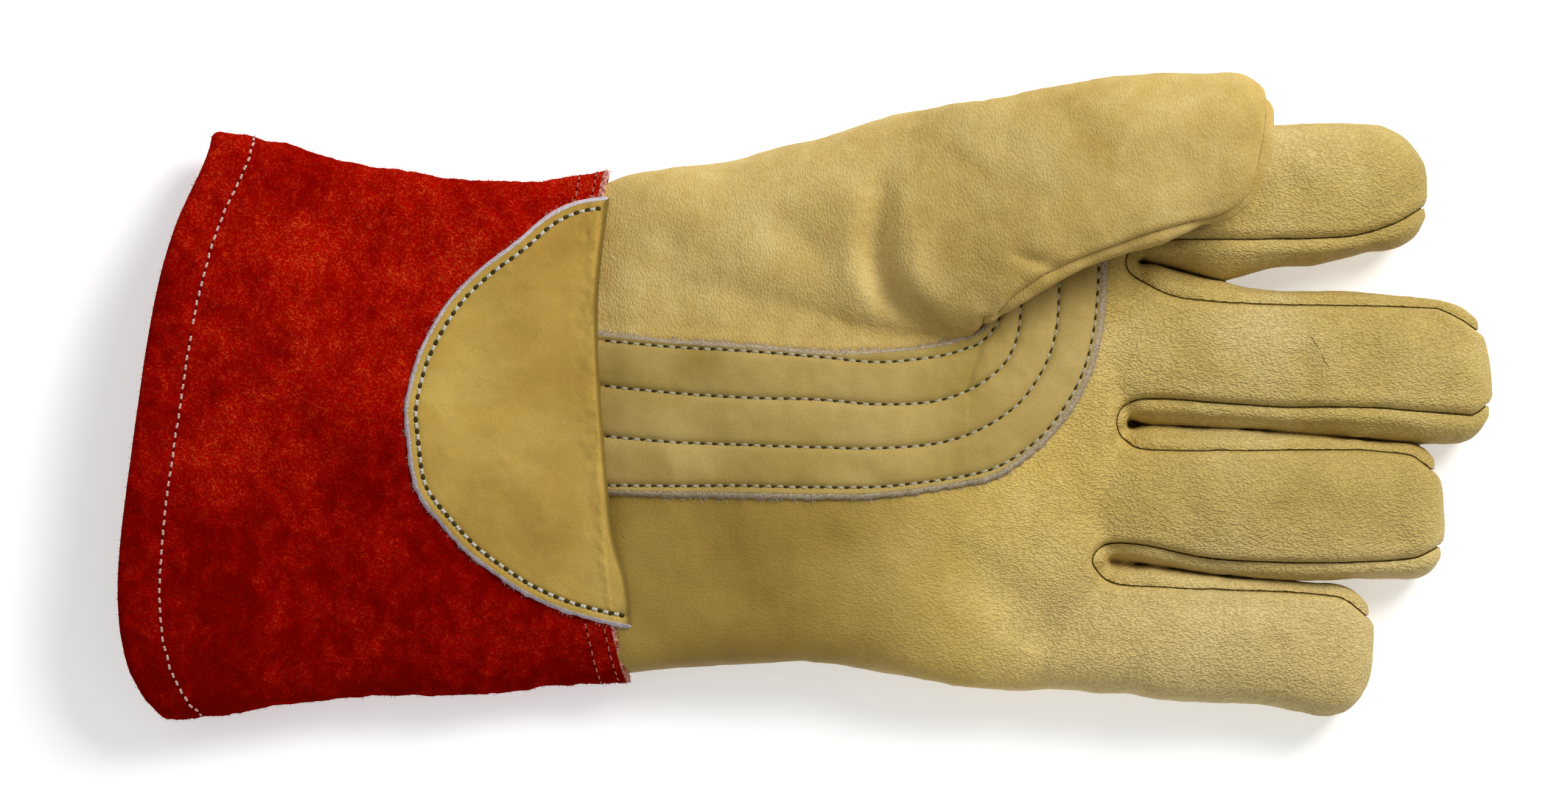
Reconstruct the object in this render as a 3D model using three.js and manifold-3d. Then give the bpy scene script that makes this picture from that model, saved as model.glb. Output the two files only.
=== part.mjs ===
// A left-hand leather protector glove, lying on its back with the palm up.
// Yellow leather hand with gusseted fingers, a thumb folded over the index finger,
// a stitched palm patch, a red suede gauntlet cuff and a half-moon tab at the wrist.
// Millimetres. +X runs from the cuff to the fingertips, +Y towards the thumb, +Z up.
// The origin is on the resting surface, under the middle of the glove.
import * as THREE from "three";
import { mergeVertices } from "three/addons/utils/BufferGeometryUtils.js";
import Module from "manifold-3d";

const wasm = await Module();
wasm.setup();

// Driving dimensions
const LEATHER = 1.5; // wall of the hand's grain leather
const SUEDE = 1.6; // wall of the cuff
const HEM = 3.2; // the cuff's wall where the rim is turned in
const PATCH = 1.3; // palm patch and wrist tab
const GAP = 0.35; // clearance between sewn pieces
const SEAM = 0.3; // width of a seam's groove
const FOLD = 3.4; // diameter of the wrist tab's folded edge

const YELLOW = 0xcdb065;
const PATCH_YELLOW = 0xd0b56e;
const RED = 0xb5200c;

// Hand sections along X: y is the middle, half the half width, bottom and top the heights.
// A bottom below zero is pressed flat where the glove rests.
const PALM = [
  { x: -54.5, y: -7.8, half: 59, bottom: 2, top: 21.3, turn: 0 },
  { x: -46.5, y: -7.6, half: 59.9, bottom: 2, top: 22.2, turn: 0 },
  { x: -41.5, y: -6.8, half: 60.2, bottom: 1.8, top: 23.4, turn: 0 },
  { x: -33, y: -5.8, half: 60.2, bottom: -3, top: 25, turn: 0 },
  { x: -18.5, y: -5.4, half: 59.6, bottom: -3, top: 27.5, turn: 0 },
  { x: -4, y: -5.2, half: 59.4, bottom: -3, top: 29, turn: 0 },
  { x: 11, y: -5.4, half: 60.5, bottom: -3, top: 29, turn: 0 },
  { x: 25.5, y: -5.7, half: 62.4, bottom: -3, top: 28, turn: 0 },
  { x: 40, y: -6.3, half: 64.6, bottom: -3, top: 26.3, turn: -2 },
  { x: 56, y: -6.1, half: 65.8, bottom: -3, top: 25.2, turn: -5 },
  { x: 69, y: -5.4, half: 65.6, bottom: -2, top: 24.8, turn: -6 },
];
const PALM_TIP = 8;

// Each finger starts inside the palm; tip is the length of its rounded end.
const FINGERS = {
  index: {
    tip: 15,
    rows: [
      { x: 56, y: 48.4, half: 14, bottom: 1, top: 23, turn: 0 },
      { x: 78, y: 48.7, half: 15.7, bottom: -2, top: 24.4, turn: 0 },
      { x: 90, y: 47.6, half: 17.1, bottom: -2, top: 24.6, turn: 0 },
      { x: 101, y: 46.4, half: 18.3, bottom: -2, top: 24.6, turn: 1 },
      { x: 112, y: 47.5, half: 17.2, bottom: -2, top: 24.2, turn: 2 },
      { x: 124, y: 48.3, half: 16.6, bottom: -2, top: 23.4, turn: 3 },
      { x: 134, y: 49.4, half: 15.7, bottom: -1, top: 21.6, turn: 4 },
    ],
  },
  middle: {
    tip: 13,
    rows: [
      { x: 56, y: 13, half: 16, bottom: 1, top: 23, turn: 0 },
      { x: 79, y: 12.5, half: 19.2, bottom: -2, top: 24.8, turn: 0 },
      { x: 90, y: 11.1, half: 18.3, bottom: -2, top: 24.8, turn: 0 },
      { x: 101, y: 9.3, half: 17, bottom: -2, top: 24.8, turn: 0 },
      { x: 116, y: 8.2, half: 17, bottom: -2, top: 24.2, turn: 0 },
      { x: 134, y: 7.2, half: 17.5, bottom: -2, top: 23, turn: -1 },
      { x: 152, y: 6, half: 17.6, bottom: -1, top: 20.8, turn: -4 },
    ],
  },
  ring: {
    tip: 12.6,
    rows: [
      { x: 54, y: -24, half: 14, bottom: 1, top: 23, turn: 0 },
      { x: 76, y: -23.6, half: 15.9, bottom: -2, top: 24.6, turn: 0 },
      { x: 90, y: -25.1, half: 16.9, bottom: -2, top: 24.8, turn: 0 },
      { x: 104, y: -26.1, half: 17.4, bottom: -2, top: 24.6, turn: 0 },
      { x: 116, y: -26.9, half: 17.4, bottom: -2, top: 24, turn: 0 },
      { x: 128, y: -27.5, half: 17, bottom: -2, top: 23, turn: -1 },
      { x: 141, y: -27.9, half: 15.8, bottom: -1, top: 20.8, turn: -2 },
    ],
  },
  little: {
    tip: 12.2,
    rows: [
      { x: 50, y: -57, half: 12, bottom: 1, top: 22, turn: 0 },
      { x: 70, y: -56.4, half: 16.1, bottom: -2, top: 23.8, turn: -1 },
      { x: 82, y: -57.4, half: 15.8, bottom: -2, top: 23.8, turn: -1 },
      { x: 94, y: -58.6, half: 15.3, bottom: -2, top: 23.4, turn: -2 },
      { x: 106, y: -59.7, half: 15, bottom: -2, top: 22.6, turn: -3 },
      { x: 116, y: -60.6, half: 15.2, bottom: -2, top: 21.6, turn: -4 },
      { x: 124, y: -61.3, half: 15.4, bottom: -1, top: 20, turn: -5 },
    ],
  },
};

// The thumb leaves the wrist as the palm's ball and ends over the index finger.
const THUMB = [
  { x: -50, y: 31, half: 15, bottom: 3, top: 19, turn: 0 },
  { x: -38, y: 34.8, half: 18.8, bottom: 2, top: 23.6, turn: 2 },
  { x: -18.5, y: 34.8, half: 22.2, bottom: -2, top: 28.4, turn: 5 },
  { x: 0, y: 36.6, half: 24.8, bottom: -2, top: 32.5, turn: 8 },
  { x: 14, y: 38, half: 26.8, bottom: 0, top: 36, turn: 9 },
  { x: 27, y: 40.2, half: 27.8, bottom: 4, top: 39.5, turn: 9 },
  { x: 36, y: 42.2, half: 27.4, bottom: 13, top: 42, turn: 9 },
  { x: 43, y: 45, half: 25.8, bottom: 24.6, top: 44.2, turn: 9 },
  { x: 54.5, y: 49.2, half: 23.6, bottom: 27.2, top: 46.6, turn: 8 },
  { x: 69, y: 53.6, half: 21.8, bottom: 27.2, top: 48.4, turn: 5 },
  { x: 84, y: 56.3, half: 20.6, bottom: 27.2, top: 48.4, turn: 0 },
  { x: 98, y: 59.2, half: 18.5, bottom: 27.6, top: 46.8, turn: -10 },
];
const THUMB_TIP = 12.8;

// The cuff's sections run across it from the rim to the wrist. slant and bow shape the
// rim's arc and the wrist's edge: x moves by slant and by corner at the sides, by bow at the middle.
const CUFF = [
  { x: -146.5, y: -7.4, half: 70.2, bottom: -3, top: 27, slant: 8, bow: -14.6, corner: -3.5 },
  { x: -136.5, y: -8, half: 69, bottom: -3, top: 26.6, slant: 7.6, bow: -13.4, corner: -1.5 },
  { x: -118, y: -8.7, half: 66, bottom: -3, top: 25.6, slant: 5.5, bow: -10, corner: 0 },
  { x: -98, y: -9.7, half: 63.3, bottom: -3, top: 24.4, slant: 3.2, bow: -7, corner: 0 },
  { x: -80, y: -10.3, half: 61.8, bottom: -3, top: 23.6, slant: 1, bow: -4.5, corner: 0 },
  { x: -64, y: -9.7, half: 61, bottom: -3, top: 23.4, slant: -1.4, bow: -3, corner: 0 },
  { x: -53, y: -8.6, half: 61.3, bottom: -3, top: 23.8, slant: -2.6, bow: -2, corner: 0 },
  { x: -46.2, y: -7.6, half: 61.9, bottom: -3, top: 24.4, slant: -3.1, bow: -1.6, corner: 0 },
];
const HEM_ROWS = 2; // the first rows of the cuff's table have the turned hem

// Main folds and dents: a row each, pressed down into the upper side.
const DENTS = [
  { name: "thumb fold", x: 27.5, y: 31, turn: -58, long: 17, wide: 5.5, deep: 4.2 },
  { name: "thumb crotch", x: 40, y: 14, turn: -30, long: 9, wide: 8, deep: 3 },
  { name: "ball hollow", x: -31, y: 40, turn: -72, long: 16, wide: 8, deep: 1.6 },
  { name: "ball fold", x: -2, y: 33, turn: 35, long: 14, wide: 7, deep: 1.4 },
  { name: "knuckle hollow", x: 70, y: 14, turn: 80, long: 14, wide: 7, deep: 1.2 },
  { name: "heel fold", x: 47, y: -47, turn: -28, long: 18, wide: 6, deep: 1.8 },
  { name: "cuff dip", x: -92, y: 32, turn: 30, long: 30, wide: 14, deep: 2.2 },
  { name: "cuff crease", x: -84, y: -38, turn: 62, long: 26, wide: 10, deep: 1.6 },
];

// Seams: the palm and back meet at SPLIT, and a gusset fills the band between two fingers,
// above GUSSET_LOW. In plan each gusset's seam comes in along one finger, loops round the
// crotch and goes out along the next.
const SPLIT = 10.5;
const GUSSET_LOW = 3.4;
const GUSSETS = {
  index_middle: [
    { x: 158, y: 50.2 },
    { x: 146, y: 43 },
    { x: 139.3, y: 39.8 },
    { x: 128, y: 37.2 },
    { x: 100, y: 36.8 },
    { x: 88, y: 36.6 },
    { x: 79.5, y: 34.8 },
    { x: 77.5, y: 32 },
    { x: 79, y: 29.1 },
    { x: 85.4, y: 25.2 },
    { x: 93.6, y: 23.4 },
    { x: 115, y: 22.5 },
    { x: 146, y: 22 },
    { x: 154.6, y: 20.6 },
    { x: 169, y: 11.6 },
  ],
  middle_ring: [
    { x: 171, y: 2.4 },
    { x: 162, y: -4.8 },
    { x: 156, y: -5.2 },
    { x: 136, y: -3.7 },
    { x: 115, y: -3.6 },
    { x: 100, y: -2.8 },
    { x: 88, y: -1.8 },
    { x: 80, y: -1.8 },
    { x: 76.4, y: -3.8 },
    { x: 75.4, y: -6.8 },
    { x: 77, y: -10.2 },
    { x: 81, y: -12.4 },
    { x: 94, y: -12.7 },
    { x: 128, y: -13 },
    { x: 144, y: -13.8 },
    { x: 149, y: -16 },
    { x: 160, y: -23.6 },
  ],
  ring_little: [
    { x: 163, y: -32.4 },
    { x: 150, y: -38.4 },
    { x: 144, y: -40.2 },
    { x: 130, y: -41.2 },
    { x: 115, y: -41.2 },
    { x: 100, y: -40.6 },
    { x: 91, y: -39.3 },
    { x: 81, y: -37 },
    { x: 72, y: -36.8 },
    { x: 69.3, y: -39.6 },
    { x: 71, y: -42.5 },
    { x: 75, y: -44.8 },
    { x: 87, y: -45.8 },
    { x: 103, y: -46.5 },
    { x: 116, y: -47 },
    { x: 125, y: -48 },
    { x: 131, y: -49.8 },
    { x: 144, y: -60 },
  ],
};

const THUMB_SEAM = { x: 45, y: 50, z: 38.5, lean: -17 };
const CROTCH_X = 41;
const THUMB_FLOOR = 26.7;

// The palm piece ends at this line under the patch's upper edge, from the wrist to the crotch.
const PALM_EDGE = [
  { x: -58, y: 12.6 },
  { x: -37, y: 11.6 },
  { x: -20, y: 10.8 },
  { x: 7, y: 8.8 },
  { x: 33, y: 11 },
  { x: 41, y: 13.6 },
];

// The palm patch: a curved band from the wrist that turns up under the thumb.
const PATCH_UPPER = [
  { x: -46, y: 15 },
  { x: -20, y: 12.4 },
  { x: 7, y: 10.2 },
  { x: 34, y: 13 },
  { x: 46, y: 20 },
  { x: 51, y: 30 },
  { x: 52, y: 42 },
];
const PATCH_LOWER = [
  { x: 71.6, y: 42 },
  { x: 71.6, y: 29 },
  { x: 67.4, y: 8 },
  { x: 60, y: -7.4 },
  { x: 47, y: -19 },
  { x: 33.5, y: -23 },
  { x: 7, y: -25.4 },
  { x: -20, y: -25.2 },
  { x: -45, y: -24.8 },
];

// The half-moon tab: its rounded edge is stitched to the cuff, its straight edge is folded.
const TAB_ARC = [
  { x: -48.8, y: 47.4 },
  { x: -56, y: 46.2 },
  { x: -63, y: 43 },
  { x: -78.6, y: 30.6 },
  { x: -89.8, y: 17 },
  { x: -95.6, y: 3 },
  { x: -96.2, y: -11.4 },
  { x: -93.6, y: -24 },
  { x: -81.8, y: -38.4 },
  { x: -67.6, y: -48.4 },
  { x: -50.8, y: -54.6 },
  { x: -43, y: -56 },
];
const TAB_FOLD = [
  { x: -43, y: -55.4 },
  { x: -44.2, y: -45 },
  { x: -46.6, y: -33.4 },
  { x: -48.6, y: -14 },
  { x: -50, y: 6 },
  { x: -50, y: 20 },
  { x: -49.2, y: 34 },
  { x: -48.2, y: 47 },
];

// Faceting: points around a section and sections between two rows of a table.
const FINGER_MESH = { around: 18, between: 0, tip: 3, square: 2.6 };
const PALM_MESH = { around: 36, between: 0, tip: 2, square: 3.4 };
const THUMB_MESH = { around: 22, between: 1, tip: 3, square: 2.5 };
const CUFF_MESH = { around: 36, between: 0, tip: 0, square: 2.5 };
const OUTLINE_STEPS = 20;
const FOLD_SIDES = 5;

// Shape of the sections: how blunt a fingertip is, and how sharply the rim's bow and corners set in.
const TIP_CURVE = { along: 2.3, across: 2.2, least: 0.12 };
const RIM_CURVE = { bow: 4, corner: 13 };
const THINNEST = 0.4; // least half width or half height of a section

// Overruns that keep cuts clean.
const FAR = 400; // beyond the object
const OPEN_END = 8; // how far the cuff's hollow runs past its ends
const WRIST_END = 6; // how far the hand's hollow runs past the wrist
const CUFF_END = 2; // how far the hand's outside is cut out of the cuff past the wrist
const THUMB_LAP = 4; // how far the thumb's two cutters overlap
const TOP_SIDE = 2; // sheets are kept this far above the side seam

const SHEEN = { grain: 0.7, nap: 0.75, smooth: 0.8, suede: 0.95 };

// A value of a table's column at a fractional row, on a Catmull-Rom curve.
function columnAt(rows, column, t) {
  const i = Math.min(Math.floor(t), rows.length - 2);
  const f = t - i;
  const at = (k) => rows[Math.max(0, Math.min(rows.length - 1, k))][column];
  const [a, b, c, d] = [at(i - 1), at(i), at(i + 1), at(i + 2)];
  const slopeIn = (c - a) / 2;
  const slopeOut = (d - b) / 2;
  const f2 = f * f;
  const f3 = f2 * f;
  return (
    b * (2 * f3 - 3 * f2 + 1) + slopeIn * (f3 - 2 * f2 + f) +
    c * (3 * f2 - 2 * f3) + slopeOut * (f3 - f2)
  );
}

function rowAt(rows, t) {
  return Object.fromEntries(Object.keys(rows[0]).map((key) => [key, columnAt(rows, key, t)]));
}

function rowsBetween(rows, between) {
  const count = (rows.length - 1) * (between + 1);
  return Array.from({ length: count + 1 }, (_, i) => rowAt(rows, i / (between + 1)));
}

// Extra rows that round a finger's end off over its tip length.
function tipRows(last, length, steps) {
  const middle = (last.bottom + last.top) / 2;
  return Array.from({ length: steps }, (_, i) => {
    const along = Math.sin(((i + 1) / steps) * (Math.PI / 2));
    const round = Math.pow(1 - Math.pow(along, TIP_CURVE.along), 1 / TIP_CURVE.across);
    const share = Math.max(TIP_CURVE.least, round);
    return {
      ...last,
      x: last.x + length * along,
      half: last.half * share,
      bottom: middle + (last.bottom - middle) * share,
      top: middle + (last.top - middle) * share,
    };
  });
}

// How deep the dents press the upper side at a point.
function dentDepth(x, y) {
  return DENTS.reduce((sum, dent) => {
    const angle = THREE.MathUtils.degToRad(dent.turn);
    const dx = x - dent.x;
    const dy = y - dent.y;
    const along = (dx * Math.cos(angle) + dy * Math.sin(angle)) / dent.long;
    const across = (dy * Math.cos(angle) - dx * Math.sin(angle)) / dent.wide;
    return sum + dent.deep * Math.exp(-along * along - across * across);
  }, 0);
}

// One section: a rounded box of power `square`, pressed flat at the bottom, grown outwards.
function ring(row, mesh, grow) {
  const middle = (row.bottom + row.top) / 2;
  const tall = Math.max((row.top - row.bottom) / 2 + grow, THINNEST);
  const half = Math.max(row.half + grow, THINNEST);
  const turn = THREE.MathUtils.degToRad(row.turn ?? 0);
  return Array.from({ length: mesh.around }, (_, k) => {
    const angle = ((k + 0.5) / mesh.around) * 2 * Math.PI;
    const bend = (v) => Math.sign(v) * Math.pow(Math.abs(v), 2 / mesh.square);
    const across = bend(Math.cos(angle));
    const up = bend(Math.sin(angle));
    const bowed = (row.bow ?? 0) * (1 - Math.pow(across, RIM_CURVE.bow));
    const cornered = (row.corner ?? 0) * Math.pow(across, RIM_CURVE.corner);
    const slanted = (row.slant ?? 0) * across;
    const x = row.x - half * across * Math.sin(turn) + slanted + bowed + cornered;
    const y = row.y + half * across * Math.cos(turn);
    const dented = dentDepth(x, y) * THREE.MathUtils.smoothstep(up, 0, 0.8);
    const z = middle + tall * up - dented;
    return new THREE.Vector3(x, y, Math.max(z, -grow));
  });
}

// A closed skin through the rings, with a fan at each end.
function loft(rings) {
  const around = rings[0].length;
  const points = rings.flat();
  const middleOf = (r) => r.reduce((sum, p) => sum.add(p), new THREE.Vector3()).divideScalar(around);
  const start = points.length;
  points.push(middleOf(rings[0]), middleOf(rings[rings.length - 1]));
  const faces = [];
  for (let i = 0; i < rings.length - 1; i += 1) {
    for (let k = 0; k < around; k += 1) {
      const a = i * around + k;
      const b = i * around + ((k + 1) % around);
      faces.push(a, b, b + around, a, b + around, a + around);
    }
  }
  const lastRing = (rings.length - 1) * around;
  for (let k = 0; k < around; k += 1) {
    const next = (k + 1) % around;
    faces.push(start, next, k, start + 1, lastRing + k, lastRing + next);
  }
  const geometry = new THREE.BufferGeometry().setFromPoints(points);
  geometry.setIndex(faces);
  return geometry;
}

// A closed geometry as a manifold-3d solid.
function solid(geometry) {
  const bare = geometry.clone();
  bare.deleteAttribute("normal");
  bare.deleteAttribute("uv");
  const merged = mergeVertices(bare, 1e-4);
  const vertProperties = new Float32Array(merged.attributes.position.array);
  const manifold = (indices) => {
    const triVerts = new Uint32Array(indices);
    return new wasm.Manifold(new wasm.Mesh({ numProp: 3, vertProperties, triVerts }));
  };
  const made = manifold(merged.index.array);
  return made.volume() >= 0 ? made : manifold(merged.index.array.slice().reverse());
}

function union(solids) {
  return solids.reduce((sum, next) => sum.add(next));
}

// The largest body of a cut piece, without the splinters a cut may leave.
function largest(made) {
  return made.decompose().reduce((best, next) => (next.volume() > best.volume() ? next : best));
}

function mesh(name, made, color, roughness) {
  const { numProp, vertProperties, triVerts, numVert } = largest(made).getMesh();
  const positions = new Float32Array(numVert * 3);
  for (let i = 0; i < numVert; i += 1) {
    positions.set(vertProperties.subarray(i * numProp, i * numProp + 3), i * 3);
  }
  const geometry = new THREE.BufferGeometry();
  geometry.setAttribute("position", new THREE.BufferAttribute(positions, 3));
  geometry.setIndex(new THREE.BufferAttribute(new Uint32Array(triVerts), 1));
  geometry.computeVertexNormals();
  const material = new THREE.MeshStandardMaterial({ color, roughness, metalness: 0 });
  const piece = new THREE.Mesh(geometry, material);
  piece.name = name;
  return piece;
}

// A prism over an outline in plan.
function planPrism(points, low, high) {
  const shape = new THREE.Shape(points.map(({ x, y }) => new THREE.Vector2(x, y)));
  const geometry = new THREE.ExtrudeGeometry(shape, { depth: high - low, bevelEnabled: false });
  return solid(geometry.translate(0, 0, low));
}

function slab(low, high) {
  const geometry = new THREE.BoxGeometry(2 * FAR, 2 * FAR, high - low);
  return solid(geometry.translate(0, 0, (low + high) / 2));
}

function smoothed(points) {
  const curve = new THREE.SplineCurve(points.map(({ x, y }) => new THREE.Vector2(x, y)));
  return curve.getPoints(OUTLINE_STEPS);
}

// The hand's solids at any growth; a start extends the open end at the wrist.
function palmSolid(grow, start = 0) {
  const rows = rowsBetween(PALM, PALM_MESH.between);
  rows.push(...tipRows(rows[rows.length - 1], PALM_TIP + grow, PALM_MESH.tip));
  if (start) rows.unshift({ ...rows[0], x: rows[0].x - start });
  return solid(loft(rows.map((row) => ring(row, PALM_MESH, grow))));
}

function fingerSolid({ rows, tip }, grow) {
  const all = rowsBetween(rows, FINGER_MESH.between);
  all.push(...tipRows(all[all.length - 1], tip + grow, FINGER_MESH.tip));
  return solid(loft(all.map((row) => ring(row, FINGER_MESH, grow))));
}

function thumbSolid(grow) {
  const rows = rowsBetween(THUMB, THUMB_MESH.between);
  rows.push(...tipRows(rows[rows.length - 1], THUMB_TIP + grow, THUMB_MESH.tip));
  return solid(loft(rows.map((row) => ring(row, THUMB_MESH, grow))));
}

function handSolid(grow, start = 0) {
  return union([
    palmSolid(grow, start),
    ...Object.values(FINGERS).map((finger) => fingerSolid(finger, grow)),
  ]);
}

// An outline in plan with every corner moved outwards.
function grownOutline(points, by) {
  const count = points.length;
  const area = points.reduce((sum, { x, y }, i) => {
    const next = points[(i + 1) % count];
    return sum + x * next.y - next.x * y;
  }, 0);
  return points.map(({ x, y }, i) => {
    const before = points[(i + count - 1) % count];
    const after = points[(i + 1) % count];
    const along = new THREE.Vector2(after.x - before.x, after.y - before.y).normalize();
    const out = Math.sign(area) * by;
    return { x: x + along.y * out, y: y - along.x * out };
  });
}

function gussetRegion(outline, grow) {
  return planPrism(grownOutline(outline, grow), GUSSET_LOW - grow, FAR);
}

// The thumb's piece: the ball above the palm's edge, then all that lies over the palm.
function thumbRegion(grow) {
  const ball = planPrism(
    [
      ...PALM_EDGE.map(({ x, y }) => ({ x, y: y - grow })),
      { x: CROTCH_X + grow, y: FAR },
      { x: PALM_EDGE[0].x, y: FAR },
    ],
    SPLIT + SEAM / 2 - grow,
    FAR,
  );
  const over = planPrism(
    [
      { x: CROTCH_X - THUMB_LAP, y: -FAR },
      { x: FAR, y: -FAR },
      { x: FAR, y: FAR },
      { x: CROTCH_X - THUMB_LAP, y: FAR },
    ],
    THUMB_FLOOR - grow,
    FAR,
  );
  return ball.add(over);
}

// Everything under the thumb's own seam, which leans down towards its outer side.
function underThumbSeam(grow) {
  const geometry = new THREE.BoxGeometry(FAR, FAR, FAR);
  geometry.translate(FAR / 2, 0, -FAR / 2 + grow);
  geometry.rotateX(THREE.MathUtils.degToRad(THUMB_SEAM.lean));
  geometry.translate(THUMB_SEAM.x - grow, THUMB_SEAM.y, THUMB_SEAM.z);
  return solid(geometry);
}

function handPieces() {
  const outer = handSolid(0).add(thumbSolid(0));
  const inner = handSolid(-LEATHER, WRIST_END).add(thumbSolid(-LEATHER));
  const shell = outer.subtract(inner);
  const upper = shell.intersect(slab(SPLIT + SEAM / 2, FAR));
  const lower = shell.intersect(slab(-FAR, SPLIT - SEAM / 2));
  const handShell = shell.subtract(thumbRegion(0));
  const gussets = Object.entries(GUSSETS).map(([name, outline]) => ({
    name: "gusset_" + name,
    made: handShell.intersect(gussetRegion(outline, 0)),
    grown: gussetRegion(outline, SEAM),
  }));
  const grown = union(gussets.map((gusset) => gusset.grown));
  const thumb = upper.intersect(thumbRegion(0));
  const palm = upper.subtract(thumbRegion(SEAM)).subtract(grown);
  const back = lower.subtract(grown);
  return {
    palm,
    back,
    gussets,
    thumbFront: thumb.subtract(underThumbSeam(SEAM)),
    thumbBack: thumb.intersect(underThumbSeam(0)),
  };
}

function cuffRows() {
  return rowsBetween(CUFF, CUFF_MESH.between);
}

function cuffSolid(grow) {
  return solid(loft(cuffRows().map((row) => ring(row, CUFF_MESH, grow))));
}

// The cuff's hollow: narrower behind the rim, where the hem is turned in, and open at both ends.
function cuffHollow() {
  const rows = cuffRows();
  const hemEnd = (HEM_ROWS - 1) * (CUFF_MESH.between + 1);
  const first = rows[0];
  const last = rows[rows.length - 1];
  const rings = [
    ring({ ...first, x: first.x - OPEN_END }, CUFF_MESH, -HEM),
    ...rows.slice(0, hemEnd + 1).map((row) => ring(row, CUFF_MESH, -HEM)),
    ring({ ...rows[hemEnd], x: rows[hemEnd].x + 1 }, CUFF_MESH, -SUEDE),
    ...rows.slice(hemEnd + 1).map((row) => ring(row, CUFF_MESH, -SUEDE)),
    ring({ ...last, x: last.x + OPEN_END }, CUFF_MESH, -SUEDE),
  ];
  return solid(loft(rings));
}

function cuffPiece() {
  return cuffSolid(0).subtract(cuffHollow()).subtract(palmSolid(GAP, CUFF_END));
}

// A sheet that lies on a surface, cut to an outline.
function sheetOn(surface, outline, clearance, thickness) {
  const skin = surface(clearance + thickness).subtract(surface(clearance));
  return skin.intersect(planPrism(outline, SPLIT + TOP_SIDE, FAR));
}

function patchPiece() {
  const outline = [...smoothed(PATCH_UPPER), ...smoothed(PATCH_LOWER)];
  const sheet = sheetOn(handSolid, outline, GAP, PATCH);
  return sheet.subtract(thumbSolid(GAP)).subtract(cuffSolid(GAP));
}

// The tab's sheet with a round fold along its straight edge.
function tabPiece() {
  const arc = smoothed(TAB_ARC);
  const fold = smoothed(TAB_FOLD);
  const sheet = sheetOn(cuffSolid, [...arc, ...fold], GAP, PATCH);
  const route = TAB_FOLD.map(({ x, y }) => new THREE.Vector3(x, y, cuffTopAt(y) + GAP + FOLD / 2));
  const section = new THREE.Shape();
  section.absarc(0, 0, FOLD / 2, 0, 2 * Math.PI);
  const roll = new THREE.ExtrudeGeometry(section, {
    steps: OUTLINE_STEPS,
    curveSegments: FOLD_SIDES,
    bevelEnabled: false,
    extrudePath: new THREE.CatmullRomCurve3(route),
  });
  return sheet.add(solid(roll)).subtract(cuffSolid(GAP)).subtract(handSolid(GAP));
}

// Height of the cuff's upper side at its wrist end.
function cuffTopAt(y) {
  const row = CUFF[CUFF.length - 1];
  const across = Math.min(Math.abs((y - row.y) / row.half), 1);
  const share = Math.pow(1 - Math.pow(across, CUFF_MESH.square), 1 / CUFF_MESH.square);
  return (row.bottom + row.top) / 2 + ((row.top - row.bottom) / 2) * share;
}

const glove = new THREE.Group();
const hand = handPieces();
glove.add(mesh("palm_panel", hand.palm, YELLOW, SHEEN.grain));
glove.add(mesh("back_panel", hand.back, YELLOW, SHEEN.grain));
glove.add(mesh("thumb_front", hand.thumbFront, YELLOW, SHEEN.nap));
glove.add(mesh("thumb_back", hand.thumbBack, YELLOW, SHEEN.nap));
for (const gusset of hand.gussets) {
  glove.add(mesh(gusset.name, gusset.made, YELLOW, SHEEN.grain));
}
glove.add(mesh("palm_patch", patchPiece(), PATCH_YELLOW, SHEEN.smooth));
glove.add(mesh("cuff", cuffPiece(), RED, SHEEN.suede));
glove.add(mesh("wrist_tab", tabPiece(), PATCH_YELLOW, SHEEN.smooth));

export default glove;
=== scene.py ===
# %% [markdown]
# # A leather protector glove, palm up
# A glove of this kind is worn over a rubber one. The hand is soft yellow leather, sewn inside out
# and turned, so its seams show as thin dark lines between rolled edges. Narrow bands run between
# the fingers, the thumb lies folded over the index finger, a curved patch with four stitch rows
# guards the palm, and a red suede cuff is sewn on at the wrist under a half-moon tab.
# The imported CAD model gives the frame, and each piece below stands where its CAD solid stands.

# %% Load the frame
import math
import random

import bpy
import numpy as np
from mathutils import Matrix, Vector, noise
from mathutils.bvhtree import BVHTree
from mathutils.kdtree import KDTree


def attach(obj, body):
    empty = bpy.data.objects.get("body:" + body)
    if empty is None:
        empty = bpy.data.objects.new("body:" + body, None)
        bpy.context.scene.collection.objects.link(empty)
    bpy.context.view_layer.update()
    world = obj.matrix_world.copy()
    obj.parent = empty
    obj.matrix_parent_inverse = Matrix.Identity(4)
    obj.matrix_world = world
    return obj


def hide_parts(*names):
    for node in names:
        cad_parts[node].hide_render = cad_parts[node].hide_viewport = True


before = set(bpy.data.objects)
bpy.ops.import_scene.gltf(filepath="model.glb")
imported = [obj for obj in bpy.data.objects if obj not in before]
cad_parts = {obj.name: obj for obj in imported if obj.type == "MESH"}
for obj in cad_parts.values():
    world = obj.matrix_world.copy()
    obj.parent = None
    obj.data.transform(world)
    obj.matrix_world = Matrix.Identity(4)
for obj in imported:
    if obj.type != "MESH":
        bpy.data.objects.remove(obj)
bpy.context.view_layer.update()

MM = 0.001
print("CAD nodes:", sorted(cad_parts))

# %% [markdown]
# ## Camera, light and floor
# The glove was photographed from straight above on white, so the camera looks down with a long
# lens. Its shade falls to the lower left: one soft light near the fingers, at the upper right,
# lights them most and rakes over the folds. A weak surround keeps the far side open.

# %% Camera, light and floor
VIEW_WIDTH = 376.1 * MM
VIEW_MIDDLE = (-5.7 * MM, 0.15 * MM)
VIEW_HEIGHT = 22 * MM
CAMERA_AWAY = 1.6
SENSOR = 36
FLOOR_DROP = 0.2 * MM
FLOOR_SIZE = 4
FLOOR_GLOW = 0.4
SURROUND_LIGHT = 0.32
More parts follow.
